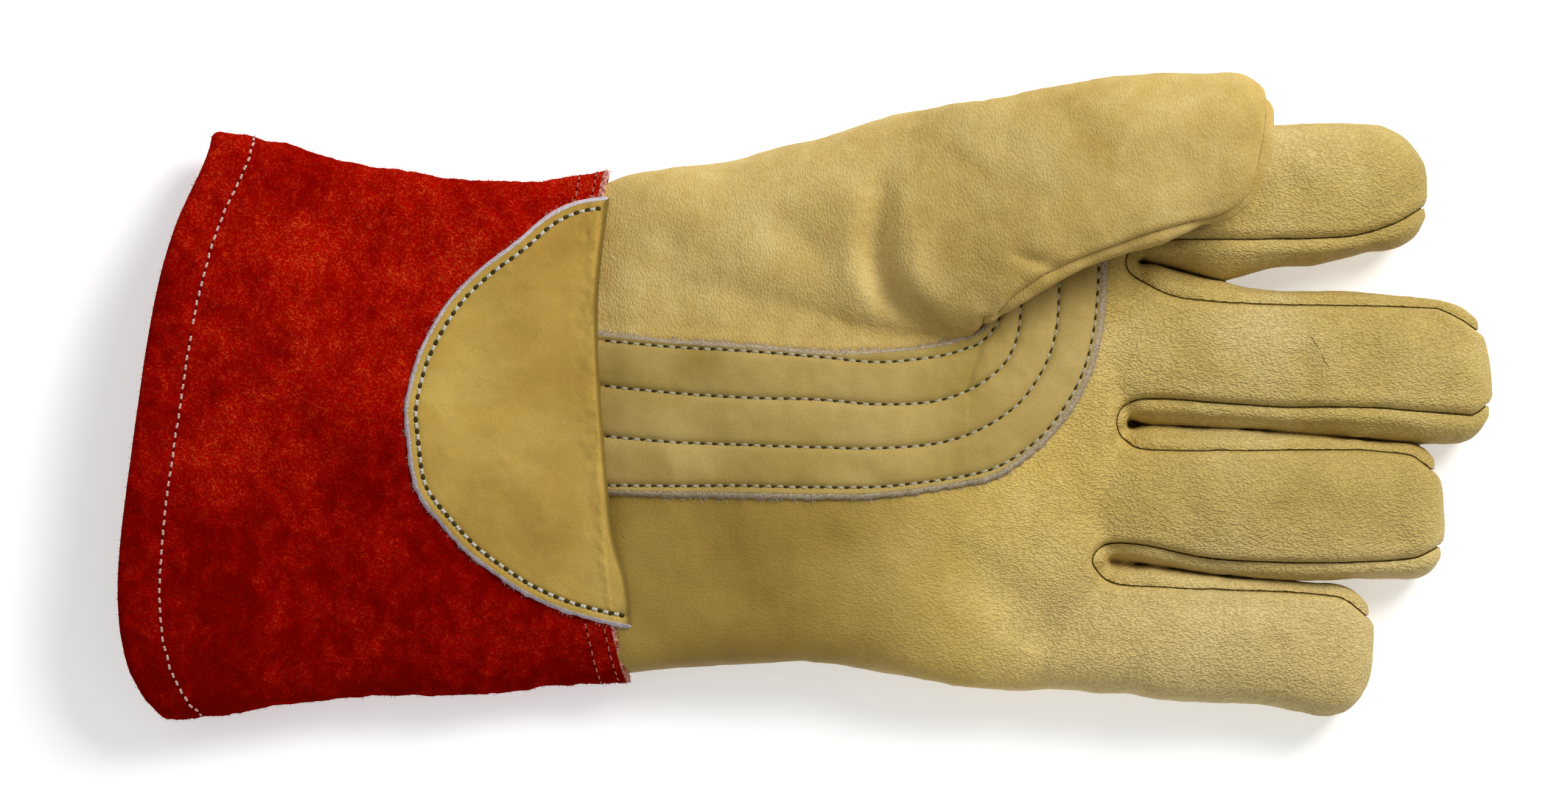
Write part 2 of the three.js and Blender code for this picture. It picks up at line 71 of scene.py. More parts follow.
# Columns: name, place and size in metres, power in watts.
LIGHTS = [
    ("key", (0.52, 0.52, 0.68), 0.46, 8.9),
    ("fill", (-0.7, 0.1, 1.1), 1.0, 1.2),
]

scene = bpy.context.scene
scene.view_settings.view_transform = "Standard"
bpy.ops.object.camera_add(location=(*VIEW_MIDDLE, VIEW_HEIGHT + CAMERA_AWAY), rotation=(0, 0, 0))
camera = bpy.context.object
camera.data.sensor_width = SENSOR
camera.data.lens = SENSOR * CAMERA_AWAY / VIEW_WIDTH
camera.data.clip_end = 20
scene.camera = camera

surround = bpy.data.worlds.new("surround")
surround.use_nodes = True
background = surround.node_tree.nodes["Background"]
background.inputs["Color"].default_value = (1, 1, 1, 1)
background.inputs["Strength"].default_value = SURROUND_LIGHT
scene.world = surround


def soft_light(name, place, size, power):
    """A large square light at a place, turned to the glove."""
    towards = Vector((0, 0, 0)) - Vector(place)
    turn = towards.to_track_quat("-Z", "Y").to_euler()
    bpy.ops.object.light_add(type="AREA", location=place, rotation=turn)
    light = bpy.context.object
    light.name = name
    light.data.size = size
    light.data.energy = power


def deselect_all():
    if bpy.context.object and bpy.context.object.mode != "OBJECT":
        bpy.ops.object.mode_set(mode="OBJECT")
    bpy.ops.object.select_all(action="DESELECT")


for light_row in LIGHTS:
    soft_light(*light_row)
deselect_all()
bpy.ops.mesh.primitive_plane_add(size=FLOOR_SIZE, location=(0, 0, -FLOOR_DROP))
floor = bpy.context.object
floor.name = "floor"
bpy.ops.object.transform_apply(location=True, rotation=False, scale=False)
print("camera,", len(LIGHTS), "lights and a floor")

# %% [markdown]
# ## Finishes
# All materials are node patterns on Object coordinates, turned to millimetres first, so every
# scale below is a real size. Leather gets its look from three sizes of detail at once: broad
# patches of tone, the pebbled grain about half a millimetre wide, and fine pores. The napped
# thumb has a shorter, softer grain, and the suede has brushed fibres with a soft sheen instead.

# %% Node helpers


def linear(code):
    """A web colour as the linear values that shaders use."""
    parts = [int(code[k : k + 2], 16) / 255 for k in (1, 3, 5)]
    return (*[p / 12.92 if p <= 0.04045 else ((p + 0.055) / 1.055) ** 2.4 for p in parts], 1)


def add_node(tree, kind, settings=None, inputs=None):
    """A new node. An input that is another node's output is linked, any other is a constant."""
    node = tree.nodes.new(kind)
    for key, value in (settings or {}).items():
        setattr(node, key, value)
    for key, value in (inputs or {}).items():
        if isinstance(value, bpy.types.NodeSocket):
            tree.links.new(value, node.inputs[key])
        else:
            node.inputs[key].default_value = value
    return node


class Finish:
    """A material being made: its tree, its shader and coordinates in millimetres."""

    def __init__(self, name, roughness, sheen=0.0, sheen_tint=(1, 1, 1, 1), gloss=0.2):
        self.material = bpy.data.materials.new(name)
        self.material.use_nodes = True
        self.tree = self.material.node_tree
        self.shader = self.tree.nodes["Principled BSDF"]
        self.shader.inputs["Roughness"].default_value = roughness
        self.shader.inputs["Sheen Weight"].default_value = sheen
        self.shader.inputs["Sheen Roughness"].default_value = 0.5
        self.shader.inputs["Sheen Tint"].default_value = sheen_tint
        self.shader.inputs["Specular IOR Level"].default_value = gloss
        place = add_node(self.tree, "ShaderNodeTexCoord").outputs["Object"]
        self.mm = self.stretched(place, (1 / MM, 1 / MM, 1 / MM))

    def stretched(self, vector, scale):
        made = add_node(self.tree, "ShaderNodeMapping", inputs={"Vector": vector, "Scale": scale})
        return made.outputs["Vector"]

    def noise(self, vector, size, detail=2.0, rough=0.5, part="Fac"):
        """Noise whose lumps are about size millimetres."""
        settings = {"Vector": vector, "Scale": 1 / size, "Detail": detail, "Roughness": rough}
        return add_node(self.tree, "ShaderNodeTexNoise", inputs=settings).outputs[part]

    def cells(self, vector, size, feature="SMOOTH_F1"):
        inputs = {"Vector": vector, "Scale": 1 / size}
        node = add_node(self.tree, "ShaderNodeTexVoronoi", {"feature": feature}, inputs)
        return node.outputs["Distance"]

    def math(self, operation, a, b=0.0):
        node = add_node(self.tree, "ShaderNodeMath", {"operation": operation}, {0: a, 1: b})
        return node.outputs["Value"]

    def times(self, a, b):
        return self.math("MULTIPLY", a, b)

    def plus(self, a, b):
        return self.math("ADD", a, b)

    def axis(self, letter):
        """One coordinate of the piece's own millimetres."""
        return add_node(self.tree, "ShaderNodeSeparateXYZ", inputs={"Vector": self.mm}).outputs[letter]

    def noted(self, name):
        """A value that was kept on each point of the piece."""
        node = add_node(self.tree, "ShaderNodeAttribute", {"attribute_name": name})
        return node.outputs["Fac"]

    def warped(self, vector, size, by):
        """Coordinates pushed about by noise, so that a pattern flows instead of standing in rows."""
        inputs = {0: self.noise(vector, size, part="Color"), 1: (by, by, by), 2: vector}
        node = add_node(self.tree, "ShaderNodeVectorMath", {"operation": "MULTIPLY_ADD"}, inputs)
        return node.outputs["Vector"]

    def mark(self, vector, middle, turn, long, wide):
        """A long narrow spot in plan, 1 in its middle and 0 outside: for a scratch or a crease."""
        inputs = {"Vector": vector, "Location": (*middle, 0), "Rotation": (0, 0, math.radians(turn))}
        inputs["Scale"] = (long / 2, wide / 2, 1e6)
        node = add_node(self.tree, "ShaderNodeMapping", {"vector_type": "TEXTURE"}, inputs)
        inputs = {0: node.outputs["Vector"]}
        length = add_node(self.tree, "ShaderNodeVectorMath", {"operation": "LENGTH"}, inputs)
        return self.spread(length.outputs["Value"], 1.0, 0.4)

    def spread(self, value, low, high, start=0.0, end=1.0):
        """A value between low and high, spread out to start and end."""
        inputs = {"Value": value, "From Min": low, "From Max": high, "To Min": start, "To Max": end}
        return add_node(self.tree, "ShaderNodeMapRange", inputs=inputs).outputs["Result"]

    def tones(self, value, *stops):
        """A colour ramp through (place, web colour) stops."""
        node = add_node(self.tree, "ShaderNodeValToRGB", inputs={"Fac": value})
        ramp = node.color_ramp
        while len(ramp.elements) < len(stops):
            ramp.elements.new(0.5)
        for element, (place, code) in zip(ramp.elements, stops):
            element.position = place
            element.color = linear(code)
        return node.outputs["Color"]

    def mixed(self, share, a, b):
        """Two colours mixed. A colour mix node has its factor and its colours at these sockets."""
        node = add_node(self.tree, "ShaderNodeMix", {"data_type": "RGBA"}, {0: share, 6: a, 7: b})
        return node.outputs[2]

    def done(self, colour, height, depth):
        """Sets the colour and a bump whose full height is depth millimetres."""
        self.tree.links.new(colour, self.shader.inputs["Base Color"])
        inputs = {"Height": height, "Distance": depth * MM, "Strength": 1.0}
        bump = add_node(self.tree, "ShaderNodeBump", inputs=inputs)
        self.tree.links.new(bump.outputs["Normal"], self.shader.inputs["Normal"])
        return self.material


print("node helpers ready")

# %% [markdown]
# ### Grain leather
# The hand's leather has pebbles about half a millimetre across that run together in flowing
# creases. They are strongest on the fingers and fade towards the wrist, where the skin is
# smoother. Its colour is palest on the palm and browner towards the wrist, where it is painted
# darker as painted shade for the light that falls off there. The pebbles' hollows and the creases
# are painted darker too: painted shade.

# %% Grain leather


def grain_leather():
    finish = Finish("grain_leather", 0.6, 0.05, linear("#F2E2A8"))
    mm = finish.mm
    x, y = finish.axis("X"), finish.axis("Y")
    finger = finish.spread(x, -10, 70, 0.25, 1.0)
    flow = finish.warped(finish.warped(mm, 7, 2.0), 0.7, 0.35)
    pebbles = finish.cells(finish.stretched(flow, (0.62, 1.1, 1)), 0.52, "F1")
    pebble = finish.spread(pebbles, 0.25, 0.75)
    wrinkles = finish.noise(finish.stretched(flow, (0.5, 1.0, 1)), 0.9, 2, 0.5)
    wrinkle = finish.spread(wrinkles, 0.38, 0.62)
    pores = finish.noise(mm, 0.3, 2)
    fine = finish.plus(finish.times(pebble, -0.8), finish.times(wrinkle, 0.3))
    height = finish.plus(finish.times(fine, finger), finish.times(pores, 0.2))
    broad = finish.noise(finish.warped(mm, 25, 10), 34, 4, 0.6)
    fingers = finish.tones(broad, (0.3, "#B99F56"), (0.5, "#CBB166"), (0.7, "#D9C280"))
    palm = finish.tones(broad, (0.3, "#C6A650"), (0.5, "#D9BA62"), (0.7, "#E4C878"))
    # painted shade: the wrist side is painted darker and browner, where the light falls off
    left = finish.tones(broad, (0.3, "#907530"), (0.5, "#A08339"), (0.7, "#AE9146"))
    base = finish.mixed(finish.spread(x, 6, 46), left, palm)
    base = finish.mixed(finish.spread(x, 62, 92), base, fingers)
    worn = finish.times(finish.spread(x, 35, 60), finish.spread(y, -28, -52))
    base = finish.mixed(finish.times(worn, 0.5), base, linear("#EBD596"))
    # painted shade: the pebbles' hollows and the creases are painted darker
    low = finish.times(finish.math("SUBTRACT", 1.0, wrinkle), 0.14)
    shade = finish.times(finish.plus(finish.times(pebble, 0.34), low), finger)
    base = finish.mixed(shade, base, linear("#7E6428"))
    broken = finish.warped(mm, 3, 0.9)
    scratch = finish.mark(broken, (124, 9), -60, 22, 0.5)
    scratch = finish.times(scratch, finish.spread(finish.noise(mm, 2.2), 0.42, 0.55))
    base = finish.mixed(finish.times(scratch, 0.5), base, linear("#8A6F2F"))
    height = finish.math("SUBTRACT", height, finish.times(scratch, 1.2))
    return finish.done(base, height, 0.22)


GRAIN = grain_leather()
print("material", GRAIN.name)

# %% [markdown]
# ### Napped leather
# The thumb is the same hide with its surface rubbed to a short nap: soft blotches, and faint
# crinkles that run across the thumb.

# %% Napped leather


def napped_leather():
    finish = Finish("napped_leather", 0.8, 0.12, linear("#F0DFA4"), 0.1)
    mm = finish.mm
    broad = finish.noise(finish.warped(mm, 20, 8), 26, 5, 0.6)
    blotches = finish.noise(mm, 5, 4, 0.65)
    strokes = finish.stretched(finish.warped(mm, 1.2, 0.5), (1.15, 0.72, 1))
    nap = finish.spread(finish.cells(strokes, 0.56, "F1"), 0.25, 0.8)
    tone = finish.plus(finish.times(broad, 0.65), finish.times(blotches, 0.35))
    ball = finish.tones(tone, (0.36, "#C0A25A"), (0.5, "#D1B46C"), (0.63, "#DBC27C"))
    tip = finish.tones(tone, (0.36, "#B49750"), (0.5, "#C4A862"), (0.63, "#CEB572"))
    base = finish.mixed(finish.spread(finish.axis("X"), 10, 60), ball, tip)
    base = finish.mixed(finish.times(nap, 0.24), base, linear("#9E8040"))
    scratch = finish.mark(finish.warped(mm, 2, 0.4), (-46.8, 33.4), -34, 3.6, 0.4)
    base = finish.mixed(finish.times(scratch, 0.6), base, linear("#EAD9A2"))
    height = finish.plus(finish.times(nap, -0.6), finish.times(blotches, 0.5))
    return finish.done(base, height, 0.16)


NAPPED = napped_leather()
print("material", NAPPED.name)

# %% [markdown]
# ### Smooth leather
# The patch and the tab are smooth and matt. Their cut edges show the pale fibres inside the hide,
# so a point attribute named raw, made with each piece, turns the colour there. Another point
# attribute darkens the tab's folded edge: painted shade on the fold's steep side.

# %% Smooth leather


def smooth_leather(name, shades, pale_shades):
    finish = Finish(name, 0.7, 0.06, linear("#F5E6B0"), 0.12)
    mm = finish.mm
    broad = finish.noise(finish.warped(mm, 16, 6), 30, 4, 0.55)
    pores = finish.noise(mm, 0.4, 3, 0.55)
    smudges = finish.noise(finish.stretched(finish.warped(mm, 12, 8), (0.6, 1.0, 1)), 7, 3, 0.5)
    base = finish.tones(broad, *zip((0.3, 0.5, 0.7), shades))
    base = finish.mixed(finish.spread(smudges, 0.45, 0.75, 0.0, 0.4), base, linear(shades[0]))
    nap = finish.spread(finish.noise(mm, 0.45, 2, 0.5), 0.38, 0.66, 0.0, 0.16)
    base = finish.mixed(nap, base, linear("#7A6030"))
    # painted shade on the tab's folded edge
    base = finish.mixed(finish.noted("fold_painted_shade"), base, linear("#6E5A24"))
    fuzz = finish.noise(mm, 0.5, 4, 0.7)
    pale = finish.tones(fuzz, *zip((0.3, 0.5, 0.72), pale_shades))
    ragged = finish.plus(finish.noted("raw"), finish.spread(fuzz, 0.3, 0.7, -0.3, 0.3))
    edge = finish.spread(ragged, 0.35, 0.65)
    base = finish.mixed(edge, base, pale)
    rough = finish.times(finish.times(fuzz, edge), 2.0)
    return finish.done(base, finish.plus(pores, rough), 0.1)


PATCH_SHADES = ("#A18943", "#B79D5A", "#C2AA69")
PATCH_EDGE_SHADES = ("#84735A", "#A8967A", "#CDBFA6")
TAB_SHADES = ("#AE883A", "#C09D49", "#CDAD5A")
TAB_EDGE_SHADES = ("#A3949A", "#CDC0C8", "#EAE2E8")
PATCH_FINISH = smooth_leather("patch_leather", PATCH_SHADES, PATCH_EDGE_SHADES)
TAB_FINISH = smooth_leather("tab_leather", TAB_SHADES, TAB_EDGE_SHADES)
print("materials", PATCH_FINISH.name, TAB_FINISH.name)

# %% [markdown]
# ### Suede, thread and needle holes
# Suede is the fleshy side of the hide, brushed up: brighter where the fibres stand towards the
# light, darker where they lie away. Its short curled fibres are the thin lines where a noise
# passes its middle value, broken into pieces by a second noise, and they are painted lighter: a
# painted highlight. The cuff is also painted darker towards its lower side and its far left end:
# painted shade. Thread has a twist, which follows its own UV map.

# %% Suede, thread and holes


def suede(name, with_edge=True):
    finish = Finish(name, 0.95, 0.08, linear("#FF4A18"), 0.0)
    mm = finish.mm
    broad = finish.noise(finish.warped(mm, 22, 14), 24, 4, 0.6)
    strokes = finish.noise(finish.stretched(finish.warped(mm, 8, 6), (1.0, 0.6, 1)), 3.4, 5, 0.7)
    curls = finish.noise(finish.warped(mm, 1.6, 1.4), 0.85, 1.0, 0.5)
    off_middle = finish.math("ABSOLUTE", finish.math("SUBTRACT", curls, 0.5))
    strand = finish.spread(off_middle, 0.02, 0.11, 1.0, 0.0)
    broken = finish.spread(finish.noise(mm, 0.62, 1, 0.5), 0.42, 0.56, 0.08, 1.0)
    fibre = finish.times(strand, broken)
    tone = finish.plus(finish.times(broad, 0.5), finish.times(strokes, 0.5))
    # painted shade: darker towards the cuff's lower side and its far left end
    tone = finish.plus(tone, finish.spread(finish.axis("Y"), -70, 10, -0.11, 0.01))
    tone = finish.plus(tone, finish.spread(finish.axis("X"), -162, -118, -0.07, 0.0))
    base = finish.tones(tone, (0.34, "#740200"), (0.46, "#900301"), (0.56, "#A40702"), (0.68, "#B41004"))
    # painted highlight: the curled fibres are painted lighter
    fibre_highlight_tones = finish.tones(tone, (0.36, "#AA1405"), (0.52, "#CC3815"), (0.68, "#DE5423"))
    fibre_painted_highlight = finish.times(fibre, finish.spread(tone, 0.38, 0.58, 0.3, 0.85))
    base = finish.mixed(fibre_painted_highlight, base, fibre_highlight_tones)
    if with_edge:
        pale = finish.tones(curls, (0.35, "#9C4A38"), (0.6, "#D9A898"))
        base = finish.mixed(finish.spread(finish.noted("raw"), 0.35, 0.75), base, pale)
    height = finish.plus(finish.times(fibre, 0.3), finish.times(strokes, 0.8))
    return finish.done(base, height, 0.45)


def thread(name, light, dark):
    finish = Finish(name, 0.75, 0.3)
    uv = add_node(finish.tree, "ShaderNodeTexCoord").outputs["UV"]
    slant = finish.stretched(uv, (1.0, 1.4, 1))
    inputs = {"Vector": slant, "Scale": 1.6, "Distortion": 0.0}
    twist = add_node(finish.tree, "ShaderNodeTexWave", {"bands_direction": "DIAGONAL"}, inputs)
    base = finish.tones(twist.outputs["Fac"], (0.15, dark), (0.6, light))
    return finish.done(base, twist.outputs["Fac"], 0.08)


# painted shade: a dark, mottled finish for shapes that stand for shade, the needle holes and the seam
# allowances
def shade_finish(name, dark, light):
    finish = Finish(name, 0.95, gloss=0.0)
    base = finish.tones(finish.noise(finish.mm, 0.6), (0.3, dark), (0.7, light))
    return finish.done(base, finish.noise(finish.mm, 0.3), 0.05)


def floor_finish():
    finish = Finish("floor", 0.9)
    finish.shader.inputs["Emission Color"].default_value = (1, 1, 1, 1)
    finish.shader.inputs["Emission Strength"].default_value = FLOOR_GLOW
    base = finish.tones(finish.noise(finish.mm, 300), (0.0, "#FAFAFA"), (1.0, "#FCFCFC"))
    return finish.done(base, finish.noise(finish.mm, 2), 0.01)


# painted shade: a dark finish for the seam allowances, so the seams read dark
SEAM_SHADE = shade_finish("seam_shade_leather", "#4A3C1A", "#6B5828")
SUEDE = suede("suede")
FIBRE = suede("suede_fibre", with_edge=False)
GREY_THREAD = thread("grey_thread", "#BBB499", "#8F8968")
PALE_THREAD = thread("pale_thread", "#DEDBD2", "#9E9A8B")
PINK_THREAD = thread("pink_thread", "#E6C3BC", "#B98278")
WORN_THREAD = thread("worn_thread", "#C97F72", "#93392E")
# painted shade: dark needle holes
LEATHER_HOLE_SHADE = shade_finish("leather_holes", "#352D18", "#4F4427")
SUEDE_HOLE_SHADE = shade_finish("suede_holes", "#4A0603", "#6E0C05")
floor.data.materials.append(floor_finish())
print("materials for suede, thread, holes and floor")

# %% [markdown]
# ## The hand's form
# A sewn glove keeps the shape of the hand that it was boarded on: a flattened palm, four fingers
# and the ball of the thumb. Each limb starts as a ring that is extruded into a straight tube. Its
# rings are then fitted to a table of sections in real millimetres. The limbs are joined, and a
# voxel remesh melts them into one skin, as moulding clay limbs together would.
# The fingers are built a little slim, so that the remesh keeps their gaps open. Low down, where
# they lean on each other, a narrow web joins their backs.

# %% Section tables and helpers
# Columns: x, y of the middle, half width, bottom, top, turn in degrees. Below 0 is pressed flat.
PALM = [
    (-54.5, -7.8, 58.4, 2.6, 20.7, 0), (-46.5, -7.6, 59.6, 2.2, 22.0, 0), (-41.5, -6.8, 60.1, 1.8, 23.4, 0),
    (-33, -5.8, 60.2, -3, 25, 0), (-18.5, -5.4, 59.6, -3, 27.5, 0), (-4, -5.2, 59.4, -3, 29, 0),
    (11, -5.4, 60.5, -3, 29, 0), (25.5, -5.7, 62.4, -3, 28, 0), (40, -6.3, 64.6, -3, 26.3, -2),
    (56, -6.1, 65.8, -3, 25.2, -5), (69, -5.4, 65.6, -2, 24.8, -6),
]
INDEX = [
    (56, 48.4, 14, 1, 23, 0), (78, 48.7, 15.7, -2, 24.4, 0), (90, 47.6, 17.1, -2, 24.6, 0),
    (101, 46.4, 18.3, -2, 24.6, 1), (112, 47.5, 17.2, -2, 24.2, 2), (124, 48.3, 16.6, -2, 23.4, 3),
    (134, 49.9, 15.4, -1, 21.6, 7),
]
MIDDLE = [
    (56, 13, 16, 1, 23, 0), (79, 12.5, 19.2, -2, 24.8, 0), (90, 11.1, 18.3, -2, 24.8, 0),
    (101, 9.3, 17, -2, 24.8, 0), (116, 8.2, 17, -2, 24.2, 0), (134, 7.2, 17.5, -2, 23, 2),
    (152, 5.6, 17.9, -1, 20.8, 6),
]
RING = [
    (54, -24, 14, 1, 23, 0), (76, -24, 16.6, -2, 24.6, 0), (90, -25.1, 16.9, -2, 24.8, 0),
    (104, -26.1, 17.4, -2, 24.6, 0), (116, -26.9, 17.4, -2, 24, 0), (128, -27.5, 17, -2, 23, 1),
    (141.5, -28, 16.4, -1, 20.8, 2),
]
LITTLE = [
    (50, -57.4, 13.6, 1, 22, 0), (70, -56.8, 16.6, -2, 23.8, -1), (82, -57.2, 16.2, -2, 23.8, -1),
    (94, -58.6, 15.3, -2, 23.4, -2), (106, -59.7, 15, -2, 22.6, -3), (116, -60.6, 15.2, -2, 21.6, -4),
    (125, -61.5, 15.8, -1, 20, -5),
]
THUMB = [
    (-50, 31, 15, 3, 19, 0), (-38, 34.8, 18.8, 2, 23.6, 2), (-18.5, 34.2, 21.6, -2, 28.4, 5),
    (0, 36.1, 24.3, -2, 32.5, 8), (14, 38, 26.8, 0, 36, 9), (27, 40.2, 27.8, 4, 39.5, 9),
    (36, 42.2, 27.4, 13, 42, 9), (43, 44.8, 25.6, 24.6, 44.2, 9), (54.5, 48.7, 23.2, 27.2, 46.6, 8),
    (69, 53.4, 21.6, 27.2, 48.4, 5), (84, 56.1, 20.4, 27.2, 48.4, 0), (96.5, 58.6, 18.2, 27.6, 46.8, -8),
]
# Where fingers lean on each other, in plan, from the crotch to where they part.
TOUCHING = [
    [(79, 31.3), (81.3, 30.6), (92.7, 28.2), (100.3, 27.3)],
    [(76.5, -7.2), (90, -7.7), (103.7, -8.3), (120, -8.8), (137.4, -9.3), (146, -11)],
    [(70.5, -40), (76.7, -41.2), (96.9, -43.7), (115, -44.6)],
]
# A web's half width, bottom and top.
WEB = (2.6, 1.2, 6.5)
SLIM = 1.2
# Each limb: its table, the length of its rounded end, how square that end and its section are, and
# how much slimmer it is built.
LIMBS = {
    "palm": (PALM, 8, 2.3, 3.4, 0),
    "index": (INDEX, 15.6, 2.05, 2.6, SLIM),
    "middle": (MIDDLE, 13, 2.6, 2.6, SLIM),
    "ring": (RING, 12.4, 3.4, 2.6, SLIM),
    "little": (LITTLE, 12.2, 2.3, 2.6, SLIM),
    "thumb": (THUMB, 13.9, 2.3, 2.35, 0),
}
for k, line in enumerate(TOUCHING):
    LIMBS[f"web_{k}"] = ([(x, y, *WEB, 0) for x, y in line], 1.5, 2.3, 2.5, 0)
SIDES = 48
BETWEEN = 3
TIP_RINGS = 9
TIP_ROUND = 2.2
LEAST_TIP = 0.05
VOXEL = 1.05 * MM
PANEL_CREASE = 50
SHEET_CREASE = 60


def spline(table, t):
    """Values of a table's columns at fractional rows t, on a smooth curve through its rows."""
    table = np.asarray(table, float)
    t = np.atleast_1d(np.asarray(t, float))
    i = np.clip(t.astype(int), 0, len(table) - 2)
    f = (t - i)[:, None]

    def at(k):
        return table[np.clip(k, 0, len(table) - 1)]

    a, b, c, d = at(i - 1), at(i), at(i + 1), at(i + 2)
    return b + 0.5 * f * (c - a + f * (2 * a - 5 * b + 4 * c - d + f * (3 * (b - c) + d - a)))


def work_on(piece):
    deselect_all()
    piece.select_set(True)
    bpy.context.view_layer.objects.active = piece


def points_of(piece):
    """A piece's points in millimetres, a row each."""
    flat = np.zeros(len(piece.data.vertices) * 3)
    piece.data.vertices.foreach_get("co", flat)
    return flat.reshape(-1, 3) / MM


def move_points(piece, points):
    piece.data.vertices.foreach_set("co", (points * MM).ravel())
    piece.data.update()


def normals_of(piece):
    flat = np.zeros(len(piece.data.vertices) * 3, np.float32)
    piece.data.vertex_normals.foreach_get("vector", flat)
    return flat.reshape(-1, 3).astype(float)


def modified(piece, kind, **settings):
    """Adds a modifier with its settings and applies it."""
    work_on(piece)
    modifier = piece.modifiers.new(kind.lower(), kind)
    for key, value in settings.items():
        setattr(modifier, key, value)
    bpy.ops.object.modifier_apply(modifier=modifier.name)
    return piece


def smoothstep(x, low, high):
    f = np.clip((x - low) / (high - low), 0, 1)
    return f * f * (3 - 2 * f)


def walked_along(line):
    """How far along a line each of its points is."""
    return np.concatenate([[0], np.linalg.norm(np.diff(line, axis=0), axis=1).cumsum()])


def in_plan(line):
    """Points in plan as points in space, at height 0."""
    return np.column_stack([line, np.zeros(len(line))])


def smooth_shaded(piece, crease):
    """Shades a piece smooth, but for edges that turn by more than crease degrees."""
    work_on(piece)
    bpy.ops.object.shade_smooth_by_angle(angle=math.radians(crease))
    return piece


def tree_of(piece):
    """A piece's surface, to drop points on and to measure from."""
    return BVHTree.FromObject(piece, bpy.context.evaluated_depsgraph_get())


def turn_outward():
    """Turns the active piece's faces outward and leaves edit mode."""
    bpy.ops.object.mode_set(mode="EDIT")
    bpy.ops.mesh.select_all(action="SELECT")
    bpy.ops.mesh.normals_make_consistent(inside=False)
    bpy.ops.object.mode_set(mode="OBJECT")


def delete_faces(piece, chosen):
    """Deletes the faces that chosen is true of, and stays in edit mode."""
    work_on(piece)
    bpy.ops.object.mode_set(mode="EDIT")
    bpy.ops.mesh.select_all(action="DESELECT")
    bpy.ops.object.mode_set(mode="OBJECT")
    for face in piece.data.polygons:
        face.select = chosen(face)
    bpy.ops.object.mode_set(mode="EDIT")
    bpy.ops.mesh.select_mode(type="FACE")
    bpy.ops.mesh.delete(type="FACE")


print("tables of", len(LIMBS), "limbs")

# %% Limbs


def straight_tube(name, rings):
    """A closed tube of round rings, one unit apart along X."""
    deselect_all()
    upright = (0, math.pi / 2, 0)
    bpy.ops.mesh.primitive_circle_add(vertices=SIDES, radius=1, fill_type="NGON", rotation=upright)
    tube = bpy.context.object
    tube.name = name
    bpy.ops.object.transform_apply(location=False, rotation=True, scale=False)
    bpy.ops.object.mode_set(mode="EDIT")
    bpy.ops.mesh.select_all(action="SELECT")
    for _ in range(rings - 1):
        bpy.ops.mesh.extrude_region_move(TRANSFORM_OT_translate={"value": (1, 0, 0)})
    turn_outward()
    return tube


def limb_sections(table, tip, blunt, slim):
    rows = spline(table, np.linspace(0, len(table) - 1, (len(table) - 1) * BETWEEN + 1))
    rows[:, 2] -= slim
    last = rows[-1]
    middle = (last[3] + last[4]) / 2
    ends = []
    for k in range(1, TIP_RINGS + 1):
        along = math.sin(k / TIP_RINGS * math.pi / 2)
        share = max(LEAST_TIP, (1 - along**blunt) ** (1 / TIP_ROUND))
        tall = (last[4] - last[3]) / 2 * share
        x = last[0] + tip * along
        ends.append((x, last[1], last[2] * share, middle - tall, middle + tall, last[5]))
    return np.vstack([rows, ends])


def limb(name, table, tip, blunt, square, slim):
    """A limb of the hand: a tube whose rings are fitted to its sections."""
    sections = limb_sections(table, tip, blunt, slim)
    piece = straight_tube(name, len(sections))
    straight = points_of(piece) * MM
    x, y, half, bottom, top, turn = sections[np.rint(straight[:, 0]).astype(int)].T
    turn = np.radians(turn)
    across, up = [np.sign(v) * np.abs(v) ** (2 / square) for v in (straight[:, 1], straight[:, 2])]
    height = np.maximum((bottom + top) / 2 + (top - bottom) / 2 * up, 0)
    fitted = np.stack([x - half * across * np.sin(turn), y + half * across * np.cos(turn), height], 1)
    move_points(piece, fitted)
    return piece


limbs = [limb(name, *facts) for name, facts in LIMBS.items()]
deselect_all()
for piece in limbs:
    piece.select_set(True)
bpy.context.view_layer.objects.active = limbs[0]
bpy.ops.object.join()
form = bpy.context.object
form.name = "hand_form"
modified(form, "REMESH", mode="VOXEL", voxel_size=VOXEL, use_smooth_shade=True)
modified(form, "SMOOTH", factor=0.5, iterations=6)
print("hand form:", len(form.data.vertices), "points")

# %% [markdown]
# ## Folds and softness
# Thin leather over nothing but air sags, folds at the thumb and dents where it was pressed. A
# cloth simulation of a whole glove is slow and hard to steer, so the folds are moved in one by one,
# as with a sculpting brush: each row of the table is a stroke with a width and a depth.

